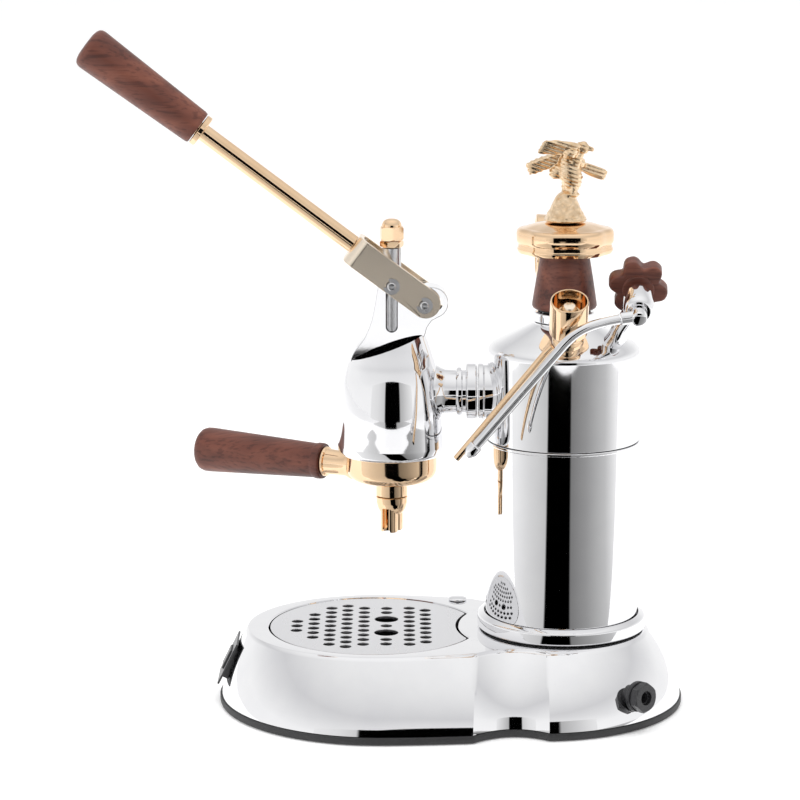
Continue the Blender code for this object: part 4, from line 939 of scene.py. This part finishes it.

# %% [markdown]
# The wand is a thin chromed pipe. It swivels on a ball held by a nut, and it ends in a tip that
# narrows to the steam hole. The route was chosen so that the pipe clears the valve cup.

# %% Wand and nozzle
WAND = [(142.4, -61.4, 253.2), (134, -63, 251.8), (125, -65.2, 249.6), (117.4, -66.4, 246),
        (110.8, -66.8, 240.4), (103.6, -67, 232), (80, -67, 204.2), (57.6, -67, 177.6)]
settle(pipe(WAND, 3.0), "steam wand pipe", "chrome", "steam_wand")
print("pipes, valve and knob made; now", len(MADE), "pieces")

nut = lathe([(0, -5.2), (3.2, -5.2), (4.4, -4.4), (4.9, -3.0), (4.9, 4.6), (4.4, 5.2), (0, 5.2)], NEAR,
            VALVE, 64)
carve(nut, lathe([(0, 2), (3.6, 2), (3.9, 2.4), (3.9, 11.0), (3.5, 11.4), (0, 11.4)], NEAR,
      (-1, -0.12, -0.12), 64), "UNION")
soften(nut, 0.3, 2, 35)
settle(nut, "wand ball nut", "chrome", "wand_nut")
tip = Vector(WAND[-1])
turned("wand tip", [(0, 0.35), (3.6, 0.35), (4.0, 0.9), (4.0, 5.0), (3.2, 6.8), (1.8, 9.0), (0, 9.2)],
       "chrome", "wand_nozzle", tip, (tip - Vector(WAND[-2])).normalized(), edge=0.2, steps=64)

# %% [markdown]
# ## Level glass and pressure gauge
# They sit on the far side: a glass tube between two gilt fittings, and a round gauge above.

# %% Level glass, gauge case and its dial
SIGHT = (BOILER_X, 61.0, 0)
for name, low, high in (("sight_lower_fitting", 84, 98), ("sight_upper_fitting", 204, 218)):
    block = lathe([(0, low), (6.6, low), (7.4, low + 0.8), (7.4, low + 5), (6.6, low + 6),
                  (6.6, high - 6), (7.4, high - 5), (7.4, high - 0.8), (6.6, high), (0, high)], SIGHT,
                  steps=72)
    middle = (low + high) / 2
    carve(block, lathe([(0, 47.9), (5.0, 47.9), (5.0, 58), (0, 58)], (BOILER_X, 0, middle), (0, 1, 0),
          64), "UNION")
    ends = (middle + 2, high + 4) if low < 100 else (low - 4, middle - 2)
    cut_bore(block, 4.4, *ends, SIGHT)
    if low > 100:
        stem = pipe([(BOILER_X, 61, high - 3), (BOILER_X, 61, 240), (109, 61, 250), (105.4, 63.4, 257.0)],
                    2.5)
        carve(block, stem, "UNION")
    settle(block, name.replace("_", " ") + " turned", "rose_gold", name)
tube = [(2.8, 94.2), (4.0, 94.2), (4.0, 207.8), (2.8, 207.8), (2.8, 94.2)]
turned("level glass", tube, "glass", "sight_glass_tube", SIGHT, edge=0, steps=64)
GAUGE, FACE = (98.0, 65.0, 279.0), (-1, 0, 0)
case = [(0, -14.0), (16.6, -14.0), (18.4, -13.0), (19.2, -11.0), (20.0, -2.0), (20.0, -0.8), (19.4, 0),
        (18.0, 0.0), (17.6, -0.5), (17.6, -5.0), (0, -5.0)]
turned("gauge case turned", case, "rose_gold", "gauge_case", GAUGE, FACE, edge=0.25)
turned("gauge dial", [(0, -4.8), (16.8, -4.8), (16.8, -4.4), (0, -4.4)], "dial_white", (), GAUGE, FACE,
       edge=0, body="machine")
lens = [(0, -1.8), (17.0, -1.8), (17.2, -1.6), (17.2, -0.9), (16.6, -0.6), (0, -0.6)]
turned("gauge window", lens, "glass", "gauge_lens", GAUGE, FACE, edge=0)

# %% [markdown]
# ## Bird finial
# The cap's crown is a plain bird with lifted wings, cast and gilt. It is blocked out of stretched
# balls, melted together with a voxel remesh, and its feathers are pressed in as long ridges.

# %% Bird finial
FINIAL = Vector((BOILER_X, 0, 303.6))


def lump(centre, size, lean=0.0, turn=0.0):
    """A stretched ball; lean tips it in the side view and turn swings it seen from above."""
    clear_choice()
    bpy.ops.mesh.primitive_uv_sphere_add(segments=40, ring_count=24, radius=1, location=(0, 0, 0))
    ball = bpy.context.object
    place = Matrix.Translation((FINIAL + Vector(centre)) * MM)
    swing = Matrix.Rotation(turn, 4, "Z") @ Matrix.Rotation(-lean, 4, "Y")
    ball.data.transform(place @ swing @ Matrix.Diagonal((*(Vector(size) * MM), 1)))
    return ball


rock = lathe([(0, 0.4), (12.8, 0.4), (13.2, 1.2), (12.6, 3.0), (11.2, 5.6), (9.8, 8.0), (8.6, 11.0),
             (7.0, 14.0), (5.6, 16.2), (0, 17.4)], FINIAL, steps=48)
parts = [lump((2.6, 0, 30), (7.2, 6.4, 12.5), 0.25), lump((5.4, -1.5, 38), (5.0, 4.6, 8.0), -0.35),
         lump((9.8, -3, 45.5), (4.6, 4.0, 4.3)), lump((14.0, -4.2, 45.0), (3.4, 1.7, 1.7), -0.25),
         lump((-0.5, 3.4, 20), (2.2, 2.2, 6.0), 0.1), lump((4.5, -3.2, 20), (2.2, 2.2, 6.0), -0.1),
         lump((2.0, 0, 16.5), (7.0, 6.0, 2.6)), lump((2.0, -5.8, 43.0), (5.6, 6.4, 4.4), 0.3),
         lump((7.5, 4.8, 36.0), (5.6, 5.6, 3.8), -0.4), lump((-3.5, 1.5, 31.0), (7.5, 4.2, 5.0), 0.5)]
for k in range(6):
    share = k / 5
    parts.append(lump((-3 - 4 * share, -10 + 1.4 * share, 48.5 - 4.2 * share),
                      (12.5 - 1.0 * share, 2.2, 2.5), -0.12 + 0.16 * share, 0.15))
for k in range(5):
    share = k / 4
    parts.append(lump((-13 + 1.5 * share, 3.0, 38.0 - 4.4 * share), (12.6, 4.8 - 2 * share, 2.2),
                      0.32 + 0.12 * share, -0.05))
for k in range(5):
    share = k / 4
    parts.append(lump((16.0 - 1.5 * share, 8, 32.6 - 3.4 * share), (11.4, 2.4, 1.9), -0.34 - 0.1 * share,
                      0.15))
bird = weld(rock, *parts)
add_modifier(bird, "REMESH", mode="VOXEL", voxel_size=0.55 * MM)
add_modifier(bird, "SMOOTH", factor=0.5, iterations=3)
ROCK_TOP = 16
for vertex in bird.data.vertices:
    at = vertex.co / MM - FINIAL
    if at.z < ROCK_TOP:
        chip = noise.noise(at * 0.42) * 0.5
    else:
        chip = 0.28 * math.sin(at.z * 2.6 + at.x * 0.9) * min(1, (at.z - ROCK_TOP) / 6)
    if at.z > 1.5:
        vertex.co += vertex.normal * (chip - 0.3) * MM
settle(bird, "bird on a rock", "cast_gold", "bird_finial", smooth=60)
print("bird:", len(bird.data.polygons), "faces")

# %% [markdown]
# ## Cord gland and stud
# Small black fittings: the gland and the nut that grips the mains lead. The rocker in a plate on the
# sloping front is left as imported. A plain chromed stud fills the small hole by the boiler.

# %% Small fittings
turned("plain stud", [(0, 44.0), (2.0, 44.0), (2.0, 47.35), (5.8, 47.35), (6.0, 47.6), (6.0, 48.3),
       (5.2, 48.9), (3.2, 49.3), (0, 49.4)], "chrome", "base_stud", (49, 60, 0), edge=0.15, steps=64)
GLAND_TURN = math.radians(-49.0)
GLAND_AXIS = (math.cos(GLAND_TURN), math.sin(GLAND_TURN), 0.06)
GLAND_AT = (97 + 86.6 * math.cos(GLAND_TURN), 86.6 * math.sin(GLAND_TURN), 21.0)
gland = [(3.4, -9), (6.0, -9), (6.0, 2.6), (9.0, 2.6), (9.4, 3.0), (9.4, 5.2), (9.0, 5.6), (6.2, 5.6),
         (6.2, 9.4), (3.4, 9.4), (3.4, -9)]
turned("gland body", gland, "black_plastic", "cord_gland", GLAND_AT, GLAND_AXIS, edge=0.15, steps=72)
grip_nut = hex_nut(16.4, 6.0, 11.6, 1.0)
carve(grip_nut, lathe([(0, 5), (6.6, 5), (6.6, 10.2), (4.4, 10.2), (4.4, 14), (0, 14)], steps=64))
lay(grip_nut, GLAND_AT, GLAND_AXIS)
soften(grip_nut, 0.2, 2)
settle(grip_nut, "gland grip nut", "black_plastic", "gland_nut")
print("all", len(MADE), "pieces made")

# %% [markdown]
# ## Light, floor and camera
# Polished metal only shows what stands round it. A white room with big soft panels makes the bright
# planes, and dark cards leave the crisp black stripes that tell the eye it is chrome.

# %% Floor, room and soft light
world = bpy.context.scene.world or bpy.data.worlds.new("studio")
bpy.context.scene.world = world
world.use_nodes = True
sky = world.node_tree
sky.nodes.clear()
room = sky.nodes.new("ShaderNodeBackground")
room.inputs["Strength"].default_value = 1.06
around = sky.nodes.new("ShaderNodeTexCoord")
height = sky.nodes.new("ShaderNodeSeparateXYZ")
sky.links.new(around.outputs["Generated"], height.inputs["Vector"])
rise = spread(sky, height.outputs["Z"], 0.0, 1.0)
levels = [(0.0, (1.0,) * 3), (0.18, (0.97,) * 3), (0.55, (0.68, 0.68, 0.69)), (0.8, (0.86,) * 3)]
levels += [(1.0, (1.0,) * 3)]
sky.links.new(ramp(sky, rise, levels), room.inputs["Color"])
sky.links.new(room.outputs[0], sky.nodes.new("ShaderNodeOutputWorld").inputs[0])

tree, shader = new_finish("floor", (0.96, 0.96, 0.96), 0.0, 0.6)
cloud = texture(tree, "ShaderNodeTexNoise", 3.0)
pale = ramp(tree, cloud.outputs["Fac"], [(0.3, (0.955,) * 3), (0.7, (0.97,) * 3)])
tree.links.new(pale, shader.inputs["Base Color"])
shader.inputs["Emission Color"].default_value = (1.0, 1.0, 1.0, 1.0)
shader.inputs["Emission Strength"].default_value = 0.14
clear_choice()
bpy.ops.mesh.primitive_plane_add(size=14, location=(0, 2, -0.0004))
floor = bpy.context.object
floor.name = "floor"
floor.data.materials.append(FINISH["floor"])

# %% [markdown]
# A mirror needs something dark to reflect. Mats lie on the floor in front of the machine, where only
# reflections meet them. Each changes from black to grey to white with the direction, so an upright
# cylinder shows a black stripe with a soft grey side, as in a studio with black flags.

# %% Shades that only reflections see
def shade_mat(name, stops, centre):
    """A glowing mat on the floor whose brightness changes with the direction from a centre."""
    made = bpy.data.materials.new(name)
    made.use_nodes = True
    tree = made.node_tree
    tree.nodes.clear()
    kinds = ("TexCoord", "SeparateXYZ", "Mapping", "Math", "Math", "MapRange", "Emission",
             "OutputMaterial")
    new = [tree.nodes.new("ShaderNode" + kind) for kind in kinds]
    place, split, moved, flip, angle, share, glow, out = new
    moved.inputs["Location"].default_value = (-centre[0], -centre[1], 0)
    flip.operation, angle.operation = "MULTIPLY", "ARCTAN2"
    flip.inputs[1].default_value = -1.0
    share.inputs["From Min"].default_value = -math.pi / 2
    share.inputs["From Max"].default_value = math.pi / 2
    tree.links.new(place.outputs["Object"], moved.inputs["Vector"])
    tree.links.new(moved.outputs["Vector"], split.inputs["Vector"])
    tree.links.new(split.outputs["Y"], flip.inputs[0])
    tree.links.new(split.outputs["X"], angle.inputs[0])
    tree.links.new(flip.outputs[0], angle.inputs[1])
    tree.links.new(angle.outputs[0], share.inputs["Value"])
    marks = [((a + 90) / 180, (v, v, v)) for a, v in stops]
    tree.links.new(ramp(tree, share.outputs["Result"], marks), glow.inputs["Color"])
    tree.links.new(glow.outputs["Emission"], out.inputs["Surface"])
    return made


def mat_on_floor(name, near, far, half, stops, centre, height=0.001):
    """A rectangle just over the floor, in front of the machine, between two distances."""
    clear_choice()
    bpy.ops.mesh.primitive_plane_add(size=1, location=(centre[0], -(near + far) / 2, height))
    mat = bpy.context.object
    mat.scale = (half * 2, far - near, 1)
    bpy.ops.object.transform_apply(location=True, rotation=True, scale=True)
    mat.name = name
    mat.data.materials.append(shade_mat(name, stops, centre))
    mat.visible_camera = mat.visible_shadow = mat.visible_diffuse = False


SHADES = [(-75, 1.0), (-50, 0.78), (-26, 0.62), (-24, 0.0), (7, 0.0), (9, 0.22), (30, 0.34), (60, 0.6),
          (80, 1.0)]
mat_on_floor("boiler shades", 0.1, 1.22, 1.2, SHADES, (0.113, 0.02))
UPPER = [(-70, 1.0), (-40, 0.8), (-16, 0.6), (-14, 0.0), (8, 0.0), (10, 0.4), (40, 0.75), (70, 1.0)]
mat_on_floor("cap shades", 1.8, 3.2, 1.6, UPPER, (0.06, 0.02))
BELL_SHADES = [(-60, 1.0), (-30, 0.85), (-16, 0.7), (-14, 0.0), (17, 0.0), (19, 0.5), (45, 0.9),
               (60, 1.0)]
TALL_AT = 3.2
mat_on_floor("bell shades", TALL_AT, 4.5, 3.4, BELL_SHADES, (0.0065, 0.0))
tall = bpy.data.objects["bell shades"]
upright = Matrix.Rotation(math.radians(-90), 4, "X")
hinge = Matrix.Translation((0, -TALL_AT, 0))
tall.data.transform(hinge @ upright @ hinge.inverted())


def soft_lamp(name, place, size, power, target=(0.02, 0, 0.2)):
    """A soft box that lights the machine and stays out of its reflections."""
    data = bpy.data.lights.new(name, "AREA")
    data.shape, data.size, data.size_y, data.energy = "RECTANGLE", size[0], size[1], power
    lamp = bpy.data.objects.new(name, data)
    bpy.context.scene.collection.objects.link(lamp)
    lamp.location = place
    lamp.visible_glossy = False
    lamp.rotation_euler = (Vector(place) - Vector(target)).to_track_quat("Z", "Y").to_euler()


soft_lamp("top softbox", (0.1, 0.2, 2.2), (2.2, 1.8), 22)
soft_lamp("left softbox", (-1.9, -0.9, 1.1), (1.4, 1.8), 10)

# %% [markdown]
# A long lens from a little above flattens the machine and keeps its upright lines nearly parallel.

# %% Camera
LENS_PITCH = math.radians(11.47)
LENS = 135.0
EYE = (0.0116, -1.825, 0.562)
data = bpy.data.cameras.new("camera")
data.sensor_width, data.lens = 36.0, LENS
camera = bpy.data.objects.new("camera", data)
bpy.context.scene.collection.objects.link(camera)
camera.location = EYE
camera.rotation_euler = (math.radians(90) - LENS_PITCH, 0, 0)
bpy.context.scene.camera = camera
bpy.context.scene.view_settings.view_transform = "Standard"

# %% [markdown]
# Last, the count of the fine pieces made.

# %% Count the pieces
print("made", len(MADE), "pieces")
